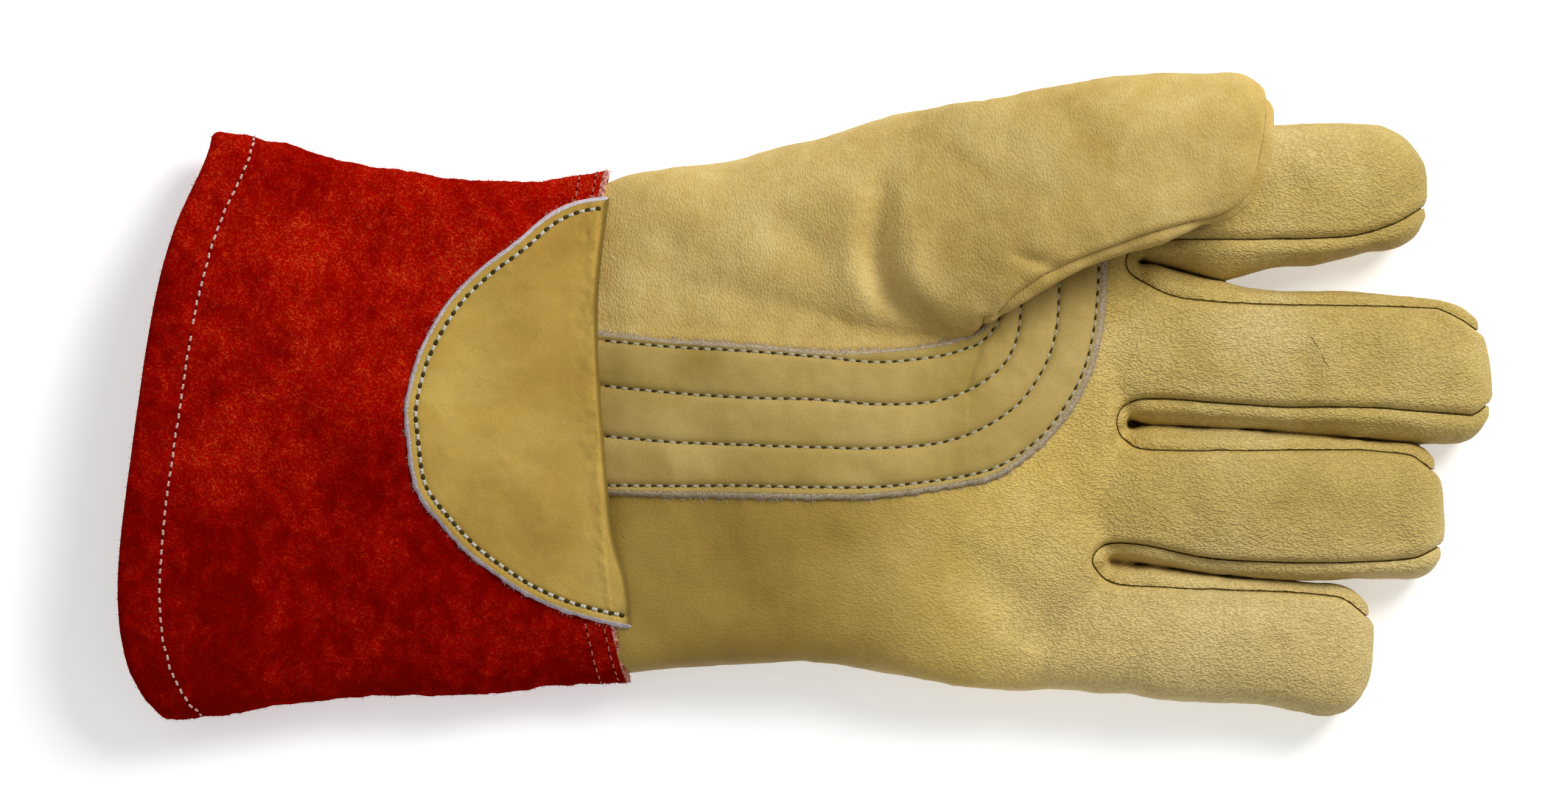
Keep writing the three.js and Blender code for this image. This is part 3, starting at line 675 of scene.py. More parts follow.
# %% Folds and softness
# Columns: width, depth (positive presses in), then the stroke's points in plan.
STROKES = [
    (3.8, 3.3, [(17.6, 51), (15.9, 41), (16.2, 30), (20.4, 22.4), (27, 17.3), (34, 14.6)]),
    (4.6, -2.1, [(26, 43), (24.8, 33), (25.6, 26), (30.4, 20)]),
    (5.0, -1.0, [(12, 42), (11.5, 30), (14, 22)]),
    (1.5, 1.2, [(48.5, 33.5), (54.5, 31.4), (60, 30.4)]),
    (4.0, 1.0, [(-32.4, 43), (-33, 36), (-32.4, 28)]),
    (6.5, 1.1, [(-12, 40), (0, 35), (8, 27)]),
    (1.6, 0.8, [(39.8, 8), (38.4, 4), (37.7, 0)]),
    (7.0, 1.9, [(33, -39), (44, -45), (52, -52), (62, -57)]),
    (6.0, 1.0, [(53, -58), (60, -60)]),
    (8.0, 1.0, [(72, 18), (70, 8), (71, -2)]),
    (7.0, 0.9, [(64, -26), (70, -30), (72, -36)]),
    (9.0, 0.8, [(5, -40), (-12, -46), (-28, -44)]),
    (3.0, 0.5, [(88, -34), (90, -28), (89, -20)]),
    (3.0, 0.5, [(112, -62), (110, -56), (111, -50)]),
    (3.0, 0.45, [(118, 0), (120, 8), (118, 18)]),
    (3.2, 0.5, [(116, 36), (118, 46), (116, 56)]),
    (9.0, 1.3, [(66, 44), (78, 50), (92, 54)]),
]
# Columns: height, size and seed of each noise, then how it is stretched.
SOFT_LUMPS = [(0.45, 17, 3.1), (0.16, 7, 11.7)]
WRINKLES = [(0.07, 3.4, 23.9, (0.7, 1.6, 1))]
GAPS_FROM = 76
GAPS_FULL = 84
THUMB_FLOOR = 26.7
THUMB_FROM = 37
TUCK = 0.9


def stroke_depth(points, width, depth, line):
    """How far a stroke moves each point: deepest along its line, tapering at its ends."""
    line = spline(line, np.linspace(0, len(line) - 1, 24))
    gap = points[:, None, :2] - line[None, :, :]
    squared = (gap**2).sum(2)
    nearest = squared.argmin(1)
    taper = np.sin(np.pi * np.clip((nearest + 1.5) / (len(line) + 2), 0, 1)) ** 0.7
    return depth * np.exp(-squared.min(1) / width**2) * taper


def lumps(points, size, seed, stretch=(1, 1, 1)):
    """Smooth noise between about -1 and 1 whose lumps are size millimetres."""
    places = points / (size * np.asarray(stretch)) + seed
    return np.array([noise.noise(Vector(place)) for place in places]) * 2


def lumpy(points, rows):
    """The sum of the noises in a table, each with its own height."""
    return sum(height * lumps(points, *row) for height, *row in rows)


points = points_of(form)
normals = normals_of(form)
beyond = smoothstep(points[:, 0], GAPS_FROM, GAPS_FULL) * (points[:, 2] < THUMB_FLOOR)
points[:, 1] += SLIM * beyond * np.clip(normals[:, 1] / 0.6, -1, 1)
upper = smoothstep(normals[:, 2], 0.1, 0.6)
pressed = sum(stroke_depth(points, *stroke) for stroke in STROKES)
points[:, 2] -= pressed * upper
free = smoothstep(points[:, 2], 0.5, 5) * smoothstep(points[:, 0], -40, -30)
uneven = lumpy(points, SOFT_LUMPS) + lumpy(points, WRINKLES)
tucked = TUCK * (1 - smoothstep(points[:, 0], -51, -43.5))
points += normals * (uneven * free - tucked)[:, None]
points[:, 2] = np.maximum(points[:, 2], 0)
move_points(form, points)
form_tree = tree_of(form)
print("moved", len(points), "points by", len(STROKES), "strokes")

# %% [markdown]
# ## Cutting the panels
# The real glove is cut from flat panels and sewn. Here the whole form is cut along the seam lines
# instead, which keeps the panels' edges facing each other exactly. Each cutter is an outline in
# plan, extruded to a prism and used in a Boolean. The faces that a cutter leaves are deleted, the
# panel's edges are rolled in as a turned seam rolls them, and Solidify gives the leather's wall.

# %% Seam lines and cutters
SEAM = 0.46
THUMB_GAP = 0.12
SPLIT = 10.5
GUSSET_LOW = 3.4
FAR = 300
GUSSETS = {
    "gusset_index_middle": [
        (158, 50.2), (146, 43), (139.3, 39.8), (128, 37.2), (100, 36.8), (88, 36.6), (79.5, 34.8),
        (77.3, 32), (79, 29.1), (85.4, 25.2), (93.6, 23.4), (115, 22.5), (146, 22), (154.6, 20.6),
        (169, 11.6),
    ],
    "gusset_middle_ring": [
        (171, 2.4), (162, -4.8), (156, -5.2), (136, -3.7), (115, -3.6), (100, -2.8), (88, -1.8), (80, -1.8),
        (76.4, -3.6), (75.2, -6.8), (76.8, -10.2), (81, -12.4), (94, -12.7), (128, -12.4), (144, -13.4),
        (149, -16), (160, -23.6),
    ],
    "gusset_ring_little": [
        (163, -32.4), (150, -38.4), (144, -40.2), (130, -41.1), (115, -41.2), (100, -40.6), (91, -39.3),
        (81, -37), (72, -36.8), (69.1, -39.6), (70.8, -42.5), (75, -44.8), (87, -45.6), (103, -46.2),
        (116, -46.6), (125, -47.4), (131, -49.4), (144, -60),
    ],
}
PALM_EDGE = [(-60, 12.6), (-37, 11.6), (-20, 10.8), (7, 8.8), (33, 11), (41, 13.6)]
THUMB_SEAM = [
    (38, 4), (46, 19.5), (54.5, 26.8), (62.6, 30.9), (73.1, 34.8), (81.3, 37.7), (90.4, 40.2), (98.6, 42.3),
    (103.4, 45.5), (105.9, 49.6), (108.3, 60.2), (109.1, 66.6), (109.4, 74),
]
THUMB_SIDE = 35.5
# In plan, where everything above the palm belongs to the thumb.
ABOVE_PALM = [
    (THUMB_FROM, 10), (45, 13.5), (60, 23), (80, 29), (118, 36), (FAR, 40), (FAR, FAR), (THUMB_FROM, FAR),
]
BALL_FROM = -80
BALL_TO = 42

form_mark = bpy.data.materials.new("form_mark")
cut_mark = bpy.data.materials.new("cut_mark")
form.data.materials.append(form_mark)


def curved(line, per_row=5):
    stops = np.linspace(0, len(line) - 1, (len(line) - 1) * per_row + 1)
    return [tuple(place) for place in spline(line, stops)]


def grown(outline, by):
    """An outline in plan, moved outwards along its own normals."""
    outline = np.asarray(outline, float)
    ahead, behind = np.roll(outline, -1, 0), np.roll(outline, 1, 0)
    along = ahead - behind
    along /= np.linalg.norm(along, axis=1)[:, None]
    area = (outline[:, 0] * ahead[:, 1] - ahead[:, 0] * outline[:, 1]).sum()
    out = np.stack([along[:, 1], -along[:, 0]], 1) * np.sign(area)
    return outline + out * by


def prism(name, outline, low, high):
    """A cutter: an outline in plan, extruded from one height to another."""
    deselect_all()
    bpy.ops.mesh.primitive_circle_add(vertices=len(outline), radius=1, fill_type="NGON")
    cutter = bpy.context.object
    cutter.name = name
    move_points(cutter, np.array([(x, y, low) for x, y in outline]))
    bpy.ops.object.mode_set(mode="EDIT")
    bpy.ops.mesh.select_all(action="SELECT")
    bpy.ops.mesh.extrude_region_move(TRANSFORM_OT_translate={"value": (0, 0, (high - low) * MM)})
    turn_outward()
    cutter.data.materials.append(cut_mark)
    return cutter


def copied(piece, name):
    work_on(piece)
    bpy.ops.object.duplicate()
    copy = bpy.context.object
    copy.name = name
    return copy


def cut(piece, cutter, operation):
    settings = {"solver": "MANIFOLD", "material_mode": "TRANSFER"}
    return modified(piece, "BOOLEAN", **settings, operation=operation, object=cutter)


def discard(*pieces):
    for piece in pieces:
        bpy.data.objects.remove(piece, do_unlink=True)


def thumb_zone(grow):
    """All that belongs to the thumb: its ball above the palm's edge, and what lies over the palm."""
    ball = [(x, y - grow) for x, y in curved(PALM_EDGE)]
    ball += [(PALM_EDGE[-1][0] + grow, FAR), (PALM_EDGE[0][0], FAR)]
    zone = prism("thumb_zone", ball, SPLIT + SEAM / 2 - grow, FAR)
    above = prism("above_palm", ABOVE_PALM, THUMB_FLOOR - grow, FAR)
    cut(zone, above, "UNION")
    discard(above)
    return zone


def thumb_front_zone(grow):
    """The thumb's front panel: all inside its seam, and the whole ball."""
    outline = curved(THUMB_SEAM) + [(THUMB_SEAM[-1][0], FAR), (THUMB_SEAM[0][0], FAR)]
    front = prism("front_zone", grown(outline, grow), THUMB_SIDE - grow, FAR)
    to = BALL_TO + grow
    ball = prism("ball_zone", [(BALL_FROM, -FAR), (to, -FAR), (to, FAR), (BALL_FROM, FAR)], -FAR, FAR)
    cut(front, ball, "UNION")
    discard(ball)
    return front


def slab(name, low, high):
    return prism(name, [(-FAR, -FAR), (FAR, -FAR), (FAR, FAR), (-FAR, FAR)], low, high)


print("seams:", len(GUSSETS), "gussets, palm edge and thumb seam")

# %% Cut the form into panels
zone = thumb_zone(0)
thumb = cut(copied(form, "thumb"), zone, "INTERSECT")
wide_zone = thumb_zone(SEAM)
rest = cut(copied(form, "rest"), wide_zone, "DIFFERENCE")
front = thumb_front_zone(0)
panels = {"thumb_front": cut(copied(thumb, "thumb_front_skin"), front, "INTERSECT")}
wide_front = thumb_front_zone(THUMB_GAP)
panels["thumb_back"] = cut(copied(thumb, "thumb_back_skin"), wide_front, "DIFFERENCE")
discard(zone, wide_zone, front, wide_front, thumb)
for name, line in GUSSETS.items():
    outline = curved(line, 4)
    band = prism("band", outline, GUSSET_LOW, FAR)
    wide_band = prism("wide_band", grown(outline, SEAM), GUSSET_LOW - SEAM, FAR)
    panels[name] = cut(copied(rest, name + "_skin"), band, "INTERSECT")
    cut(rest, wide_band, "DIFFERENCE")
    discard(band, wide_band)
above = slab("above", SPLIT + SEAM / 2, FAR)
below = slab("below", -FAR, SPLIT - SEAM / 2)
panels["palm_panel"] = cut(copied(rest, "palm_skin"), above, "INTERSECT")
panels["back_panel"] = cut(copied(rest, "back_skin"), below, "INTERSECT")
discard(above, below, rest)
print("panels:", {name: len(panel.data.polygons) for name, panel in panels.items()})

# %% [markdown]
# ### Rolled edges and walls
# At a turned seam each panel's edge bends inwards, so the two edges meet in a narrow groove. The
# nearer a point is to its panel's edge, the further it is moved in along its own normal.
# Empty fingers also lean on each other. Along the lines where they touch, the gap between their
# walls is measured on the form, and then each wall is moved half of it towards the other.

# %% Rolled edges and walls
WALL = 1.5
ROLL = 2.4
ROLL_DEPTH = 1.0
ROLL_CURVE = 2.2
SWELL = 0.3
UPRIGHT_SHARE = 0.4
OVERLAP = 0.06
MOST_LEAN = 1.1


def without_cuts(piece):
    """Deletes the faces that a cutter left, and every scrap but the largest."""
    marked = piece.data.materials.find("cut_mark")
    delete_faces(piece, lambda face: face.material_index == marked)
    bpy.ops.mesh.select_all(action="SELECT")
    bpy.ops.mesh.remove_doubles(threshold=0.06 * MM)
    bpy.ops.mesh.dissolve_degenerate(threshold=0.05 * MM)
    bpy.ops.mesh.separate(type="LOOSE")
    bpy.ops.object.mode_set(mode="OBJECT")
    scraps = sorted(bpy.context.selected_objects, key=lambda scrap: -len(scrap.data.vertices))
    discard(*scraps[1:])
    return scraps[0]


def edge_points(piece):
    """Points along a piece's open edges, close enough to measure distances from."""
    mesh = piece.data
    count = np.zeros(len(mesh.edges), int)
    index = {tuple(sorted(edge.vertices)): edge.index for edge in mesh.edges}
    for face in mesh.polygons:
        for key in face.edge_keys:
            count[index[tuple(sorted(key))]] += 1
    ends = np.array([mesh.edges[k].vertices[:] for k in np.flatnonzero(count == 1)])
    points = points_of(piece)
    a, b = points[ends[:, 0]], points[ends[:, 1]]
    return np.vstack([a, (a + b) / 2, (3 * a + b) / 4, (a + 3 * b) / 4])


def distance_from(places, points):
    tree = KDTree(len(places))
    for k, place in enumerate(places):
        tree.insert(place, k)
    tree.balance()
    return np.array([tree.find(point)[2] for point in points])


def rolled(piece):
    """Rolls a panel's edges in, less where they stand upright at the outline."""
    points, normals = points_of(piece), normals_of(piece)
    reach = distance_from(edge_points(piece), points)
    drop = ROLL_DEPTH * np.clip(1 - reach / ROLL, 0, 1) ** ROLL_CURVE
    swell = SWELL * np.exp(-((reach - ROLL) ** 2) / 1.6)
    share = UPRIGHT_SHARE + (1 - UPRIGHT_SHARE) * smoothstep(normals[:, 2], -0.2, 0.4)
    points += normals * ((swell - drop) * share)[:, None]
    move_points(piece, points)
    return piece


def walled(piece, name, thickness):
    """Gives a skin its leather's thickness, inwards."""
    modified(piece, "SOLIDIFY", thickness=thickness * MM, offset=-1, use_even_offset=False)
    smooth_shaded(piece, PANEL_CREASE)
    piece.name = name
    return piece


def dressed(piece, finish, slot, *nodes):
    """Gives a piece its finish, hangs it under the root body and hides the CAD parts that it stands for."""
    piece.data.materials.clear()
    piece.data.materials.append(finish)
    for face in piece.data.polygons:
        face.material_index = 0
    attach(piece, "root")
    if nodes:
        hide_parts(*nodes)
    print(piece.name, len(piece.data.polygons), "faces")
    return piece


def wall_gap(line):
    """Places along a line where fingers touch, and how far its two walls stand apart there."""
    line = np.asarray(line, float)
    places = np.arange(line[0, 0], line[-1, 0], 1.0)
    middle = np.interp(points[:, 0], line[:, 0], line[:, 1])
    near = (np.abs(points[:, 1] - middle) < 6) & (points[:, 2] > 8) & (points[:, 2] < 19)
    gaps = []
    for x in places:
        here = near & (np.abs(points[:, 0] - x) < 1.2)
        lower = points[here & (normals[:, 1] > 0.7), 1]
        upper = points[here & (normals[:, 1] < -0.7), 1]
        gaps.append(max(upper.min() - lower.max(), 0) if len(lower) and len(upper) else np.nan)
    gaps = np.array(gaps)
    known = ~np.isnan(gaps)
    gaps = np.interp(places, places[known], gaps[known])
    return places, np.convolve(np.pad(gaps, 1, mode="edge"), (0.25, 0.5, 0.25), "valid")


def leaning(piece):
    """Moves the walls of touching fingers together."""
    own, facing = points_of(piece), normals_of(piece)[:, 1]
    for line, (places, gaps) in zip(TOUCHING, finger_gaps):
        line = np.asarray(line, float)
        middle = np.interp(own[:, 0], line[:, 0], line[:, 1])
        reach = 1 - smoothstep(np.abs(own[:, 1] - middle), 4, 8)
        inside = smoothstep(own[:, 0], places[0], places[0] + 7)
        inside *= 1 - smoothstep(own[:, 0], places[-1] - 1, places[-1] + 4)
        half = np.minimum(np.interp(own[:, 0], places, gaps) / 2 + OVERLAP, MOST_LEAN)
        low_side = 1 - smoothstep(own[:, 2], 15, 21)
        own[:, 1] += half * np.clip(facing / 0.6, -1, 1) * reach * inside * low_side
    move_points(piece, own)
    return piece


points, normals = points_of(form), normals_of(form)
finger_gaps = [wall_gap(line) for line in TOUCHING]
print("gaps between fingers, mm:", [round(float(gaps.max()), 1) for _, gaps in finger_gaps])
seam_points = []
for node, panel in panels.items():
    panel = leaning(without_cuts(panel))
    seam_points.append(edge_points(panel))
    panel = walled(rolled(panel), node + "_leather", WALL)
    napped = node.startswith("thumb")
    dressed(panel, NAPPED if napped else GRAIN, "napped_leather" if napped else "grain_leather", node)

# %% [markdown]
# ### Seam allowances
# Inside a sewn glove the turned edges of the panels stand along every seam, and they close it.
# They are the part of the form close to a seam, sunk into the leather's thickness. They are
# painted dark, as painted shade in the seams.

# %% Seam allowances
SUNK = 1.25
ALLOWANCE = 3.2
ALLOWANCE_WALL = 0.5

allowances = leaning(form)
points, normals = points_of(allowances), normals_of(allowances)
to_seam = distance_from(np.vstack(seam_points), points)
move_points(allowances, points - normals * SUNK)
far = to_seam > ALLOWANCE
delete_faces(allowances, lambda face: bool(far[list(face.vertices)].any()))
bpy.ops.object.mode_set(mode="OBJECT")
walled(allowances, "seam_allowances", ALLOWANCE_WALL)
# painted shade: the allowances get the dark finish
dressed(allowances, SEAM_SHADE, "grain_leather")

# %% [markdown]
# ## The cuff
# A gauntlet cuff is one piece of suede bent round into a flat, flared tube, its rim turned in and
# sewn down. It starts as a flat grid, as the suede starts as a flat skin. The grid is bent round
# a table of sections, its two long edges are merged, and Solidify gives the wall.

# %% The cuff
# Columns: x, y of the middle, half width, bottom, top, slant, bow and corner of the end's line.
CUFF = [
    (-148.5, -7.4, 70.2, -3, 27, 9.9, -12.4, -5), (-137.5, -8, 69, -3, 26.6, 8.6, -12.4, -2),
    (-118, -8.7, 66, -3, 25.6, 5.5, -10, 0), (-98, -9.7, 63.3, -3, 24.4, 3.2, -7, 0),
    (-80, -10.3, 61.8, -3, 23.6, 1, -4.5, 0), (-64, -9.7, 61, -3, 23.4, -1.4, -3, 0),
    (-53, -8.6, 61.3, -3, 23.8, -2.6, -2, 0), (-45.5, -7.6, 61.9, -3, 24.4, -2.7, -4.6, 0),
]
CUFF_SQUARE = 2.5
CUFF_LONG = 104
CUFF_ROUND = 300
LOW_CORNER = 0.5
SUEDE_WALL = 1.6
HEM = 10.6
HEM_ROW = HEM - 0.6
HEM_WALL = 3.2
HEM_RISE = 0.55
HEM_GROOVE = 0.5
RIM_ROUND = 1.7
# Columns: height, size and seed of each noise.
CUFF_LUMPS = [(0.7, 19, 41.3), (0.3, 6, 51.1)]
CUFF_NAP = [(0.16, 2.2, 61.7), (0.1, 1.2, 71.3)]
CUFF_DENTS = [
    (14, 2.4, [(-112, 44), (-92, 32), (-74, 22)]),
    (11, 1.8, [(-100, -50), (-84, -38), (-70, -24)]),
    (9, -1.2, [(-128, 10), (-108, -4), (-92, -16)]),
    (12, 1.0, [(-140, -20), (-122, -34), (-110, -52)]),
    (8, 0.9, [(-70, 42), (-62, 46), (-54, 50)]),
]


def sheet_grid(name, long, wide):
    """A flat grid one unit square, to be laid somewhere: u runs 0 to 1 along X, v along Y."""
    deselect_all()
    bpy.ops.mesh.primitive_grid_add(x_subdivisions=long, y_subdivisions=wide, size=1)
    sheet = bpy.context.object
    sheet.name = name
    flat = points_of(sheet) * MM + 0.5
    return sheet, flat[:, 0], flat[:, 1]


def cuff_surface(u, v):
    """Points of the cuff at u from rim to wrist and v once round, in millimetres."""
    x, y, half, bottom, top, slant, bow, corner = spline(CUFF, u * (len(CUFF) - 1)).T
    angle = v * 2 * math.pi
    across = np.sign(np.cos(angle)) * np.abs(np.cos(angle)) ** (2 / CUFF_SQUARE)
    up = np.sign(np.sin(angle)) * np.abs(np.sin(angle)) ** (2 / CUFF_SQUARE)
    cornered = corner * np.where(across > 0, 1, LOW_CORNER) * across**13
    shift = slant * across + bow * (1 - across**4) + cornered
    return np.stack([x + shift, y + half * across, (bottom + top) / 2 + (top - bottom) / 2 * up], 1)


def even_round(shares):
    """Values of v that stand at shares of the way round the cuff's middle section."""
    v = np.linspace(0, 1, 2001)
    walked = walked_along(cuff_surface(np.full_like(v, 0.5), v))
    return np.interp(shares * walked[-1], walked, v)


def note(piece, name, values):
    """Keeps a value per point on the piece, for its material to read."""
    attribute = piece.data.attributes.new(name, "FLOAT", "POINT")
    attribute.data.foreach_set("value", np.asarray(values, np.float32))


cuff, cuff_u, cuff_share = sheet_grid("cuff_suede", CUFF_LONG, CUFF_ROUND)
move_points(cuff, cuff_surface(cuff_u, even_round(cuff_share)))
note(cuff, "u", cuff_u)
work_on(cuff)
bpy.ops.object.mode_set(mode="EDIT")
bpy.ops.mesh.select_all(action="SELECT")
bpy.ops.mesh.remove_doubles(threshold=0.01 * MM)
turn_outward()
points, normals = points_of(cuff), normals_of(cuff)
along = np.zeros(len(points))
cuff.data.attributes["u"].data.foreach_get("value", along)
rim_line = cuff_surface(np.zeros(600), np.linspace(0, 1, 600))
wrist_line = cuff_surface(np.ones(600), np.linspace(0, 1, 600))
from_rim = distance_from(rim_line, points)
from_wrist = distance_from(wrist_line, points)
upper = smoothstep(normals[:, 2], 0.0, 0.6)
points[:, 2] -= sum(stroke_depth(points, *dent) for dent in CUFF_DENTS) * upper
free = smoothstep(points[:, 2], 0.3, 4)
short_of_rim = np.maximum(RIM_ROUND - from_rim, 0)
rounding = RIM_ROUND - np.sqrt(np.maximum(RIM_ROUND**2 - short_of_rim**2, 0))
hem = HEM_RISE * (1 - smoothstep(from_rim, HEM - 1.0, HEM + 1.4))
hem -= HEM_GROOVE * np.exp(-((from_rim - HEM_ROW) ** 2) / 0.9)
uneven = lumpy(points, CUFF_LUMPS) * smoothstep(from_wrist, 2, 14) + lumpy(points, CUFF_NAP)
shift = uneven * free + hem * free - rounding
points += normals * shift[:, None]
points[:, 2] = np.maximum(points[:, 2], 0)
move_points(cuff, points)
note(cuff, "raw", 1 - smoothstep(from_wrist, 0.5, 1.3))
outside = len(points)
modified(cuff, "SOLIDIFY", thickness=SUEDE_WALL * MM, offset=-1)
points = points_of(cuff)
inner = points[outside:]
thicker = (HEM_WALL - SUEDE_WALL) * (1 - smoothstep(from_rim, HEM - 0.5, HEM + 0.5))
inner -= normals * (thicker * smoothstep(from_rim, 0, 2))[:, None]
move_points(cuff, points)
smooth_shaded(cuff, SHEET_CREASE)
dressed(cuff, SUEDE, "suede", "cuff")
cuff_tree = tree_of(cuff)

# %% [markdown]
# ## The palm patch
# The patch is a curved band with four stitch rows that pull it down into the palm, so the leather
# stands up softly between them. A flat grid is laid between six lines in plan, its two edges and
# the rows, then dropped on the palm. Its cut edges slope down and show pale fibres.

# %% The palm patch
PATCH_LINES = {
    "upper_edge": [
        (-51.4, 15.4), (-33, 13.4), (-15.2, 12.2), (2.5, 10.7), (16.5, 10.9), (28.2, 12), (34.3, 13.2),
        (38.9, 14.6), (41.6, 16.2), (43.2, 18.4), (44.4, 20.5), (45.2, 22.3), (46, 24),
    ],
    "row_1": [
        (-51.4, 13.2), (-33, 11.5), (-15.2, 10.4), (2.5, 9), (16.5, 7.8), (28.5, 8.8), (35.8, 10.3),
        (41, 12.3), (43.6, 14.6), (45.2, 17), (46.4, 19.4), (47.2, 21.4), (48, 23.5),
    ],
    "row_2": [
        (-51.4, 2.4), (-33, 0.5), (-15.2, -0.7), (2.5, -1.2), (16.5, -2.3), (29.6, -1.7), (38.7, 1.2),
        (45.8, 6.1), (48.9, 10.7), (50.4, 15.5), (50.9, 20), (51.2, 24), (51.4, 27.5),
    ],
    "row_3": [
        (-51.4, -9.6), (-33, -11.3), (-15.2, -12), (2.5, -12.6), (16.5, -12.8), (31.1, -11.6), (41.6, -8.1),
        (50.1, -2.4), (55, 3.9), (58, 10), (59.6, 17), (60.1, 24.5), (60.3, 31),
    ],
    "row_4": [
        (-51.4, -21.7), (-33, -21.8), (-15.2, -21.8), (2.5, -22.1), (16.5, -22), (33.4, -20.1), (45, -17.4),
        (54.5, -11.2), (60.9, -3.7), (65.7, 5.2), (68.3, 15), (69.4, 25.5), (69.7, 35),
    ],
    "lower_edge": [
        (-51.4, -24.3), (-33, -24.6), (-15.2, -24.9), (2.5, -25.2), (16.5, -24.9), (34.2, -22.6),
        (45.8, -19.9), (55.9, -12.6), (62.8, -4.7), (67.8, 4.5), (70.6, 14.5), (71.6, 25.3), (71.9, 35.5),
    ],
}
PATCH_LONG = 230
LANES = (5, 15, 15, 14, 5)
PATCH_TOP = 1.15
PUFF = 0.85
EDGE_PUFF = 0.12
GROOVE = 0.42
GROOVE_WIDE = 0.65
RAW_WIDTH = 1.6
# Columns: height, size and seed of each noise, then how it is stretched.
PATCH_LUMPS = [(0.05, 2.6, 81.7), (0.1, 6, 91.3, (1.6, 1, 1))]
PATCH_RAGGED = [(0.2, 1.4, 15.3)]
PATCH_CREASE = [(42.2, 14), (40.4, 9.5), (38.8, 5), (37.7, 1)]
CLEAR = 0.12
UNDER_THUMB = 26.0
PATCH_UNDER = 38
ROW_NAMES = ("row_1", "row_2", "row_3", "row_4")
INSIDE_HAND = 8
ABOVE_ALL = 100


def heights_on(tree, plan, start, way):
    """Heights where rays from a start height meet a surface, going up (1) or down (-1)."""
    heights = np.full(len(plan), np.nan)
    for k, (x, y) in enumerate(plan):
        hit = tree.ray_cast(Vector((x * MM, y * MM, start * MM)), Vector((0, 0, way)))[0]
        if hit:
            heights[k] = hit.z / MM
    return heights


def top_of(tree, plan):
    """Heights of a closed surface's top, met from inside it."""
    return heights_on(tree, plan, INSIDE_HAND, 1)


def down_on(tree, plan):
    """Heights of what is met first from above."""
    return heights_on(tree, plan, ABOVE_ALL, -1)


def curve_of(line, count):
    """A smooth curve through a line's points, as count points."""
    return spline(line, np.linspace(0, len(line) - 1, count))


def thickened(piece, ground):
    """Closes a laid sheet with an underside just over the ground."""
    laid = len(piece.data.vertices)
    modified(piece, "SOLIDIFY", thickness=0.5 * MM, offset=-1, use_even_offset=False)
    points = points_of(piece)
    points[laid:] = points[:laid]
    points[laid:, 2] = ground + CLEAR
    move_points(piece, points)
    return smooth_shaded(piece, SHEET_CREASE)


patch, u, v = sheet_grid("palm_patch_leather", PATCH_LONG, sum(LANES))
lane_ends = np.concatenate([[0], np.cumsum(LANES)]) / sum(LANES)
lane = np.interp(v, lane_ends, np.arange(len(LANES) + 1))
lines = np.stack([spline(line, u * (len(line) - 1)) for line in PATCH_LINES.values()])
first = np.clip(lane.astype(int), 0, len(LANES) - 1)
share = lane - first
each = np.arange(len(u))
before, after = lines[first, each], lines[first + 1, each]
plan = before * (1 - share)[:, None] + after * share[:, None]
edges = np.vstack([curve_of(PATCH_LINES[name], 500) for name in ("upper_edge", "lower_edge")])
flat = in_plan(plan)
from_edge = distance_from(in_plan(edges), flat)
from_edge = np.where((lane < 0.001) | (lane > len(LANES) - 0.001), 0, from_edge)
rows = np.vstack([curve_of(PATCH_LINES[name], 600) for name in ROW_NAMES])
from_row = distance_from(in_plan(rows), flat)
lowest_thumb = np.where(plan[:, 0] > PATCH_UNDER, UNDER_THUMB, ABOVE_ALL)
ground = np.fmin(top_of(form_tree, plan), lowest_thumb)
inner_lane = (first > 0) & (first < len(LANES) - 1)
puff = np.where(inner_lane, PUFF * np.sin(np.pi * share) ** 0.55, EDGE_PUFF)
slope = smoothstep(from_edge, -0.5, 0.9)
raw_width = np.where(v > 0.5, RAW_WIDTH, RAW_WIDTH - 0.4 - 0.5 * smoothstep(plan[:, 0], 40, 60))
groove = GROOVE * np.exp(-((from_row / GROOVE_WIDE) ** 2))
height = (PATCH_TOP + puff) * slope - groove * (slope > 0.6)
height += lumpy(flat, PATCH_LUMPS)
height -= stroke_depth(flat, 1.0, 0.7, PATCH_CREASE)
plan[:, 1] += lumpy(flat, PATCH_RAGGED) * (from_edge < 0.6)
points = np.column_stack([plan, ground + np.maximum(height, CLEAR + 0.1)])
move_points(patch, points)
note(patch, "raw", 1 - smoothstep(from_edge, raw_width - 0.55, raw_width + 0.25))
thickened(patch, ground)
dressed(patch, PATCH_FINISH, "smooth_leather", "palm_patch")

# %% [markdown]
# ## The half-moon tab
# The tab's round side is stitched to the cuff and its straight side is a fold that hides the
# wrist seam. The same kind of grid is stretched between the fold and the arc. Its height comes
# from how far each point is from either: a groove at the stitches, a fat roll at the fold.

# %% The half-moon tab
TAB_FOLD = [
    (-47.7, 47.2), (-49.4, 34), (-50.4, 20.5), (-49.8, 6.2), (-48.3, -14.7), (-46.6, -33.2), (-43.4, -44.9),
    (-42.3, -55.6),
]
TAB_ARC = [
    (-48.8, 47.7), (-55.9, 46.5), (-62.9, 43.1), (-70.1, 36.9), (-78.5, 30.6), (-85.3, 23.9), (-89.8, 17.2),
    (-93.6, 9.6), (-95.6, 2.8), (-96.7, -3.9), (-96.1, -11.3), (-95.2, -18.9), (-93.6, -24), (-89.4, -29.9),
    (-81.9, -38.2), (-74.3, -44), (-67.6, -48.3), (-59.3, -52), (-50.8, -54.5), (-42.9, -56.2),
]
TAB_ROUND = 200
TAB_ACROSS = 62
TAB_EVEN = 30
TAB_TOP = 1.3
TAB_STITCH = 2.86
TAB_RAW = 1.1
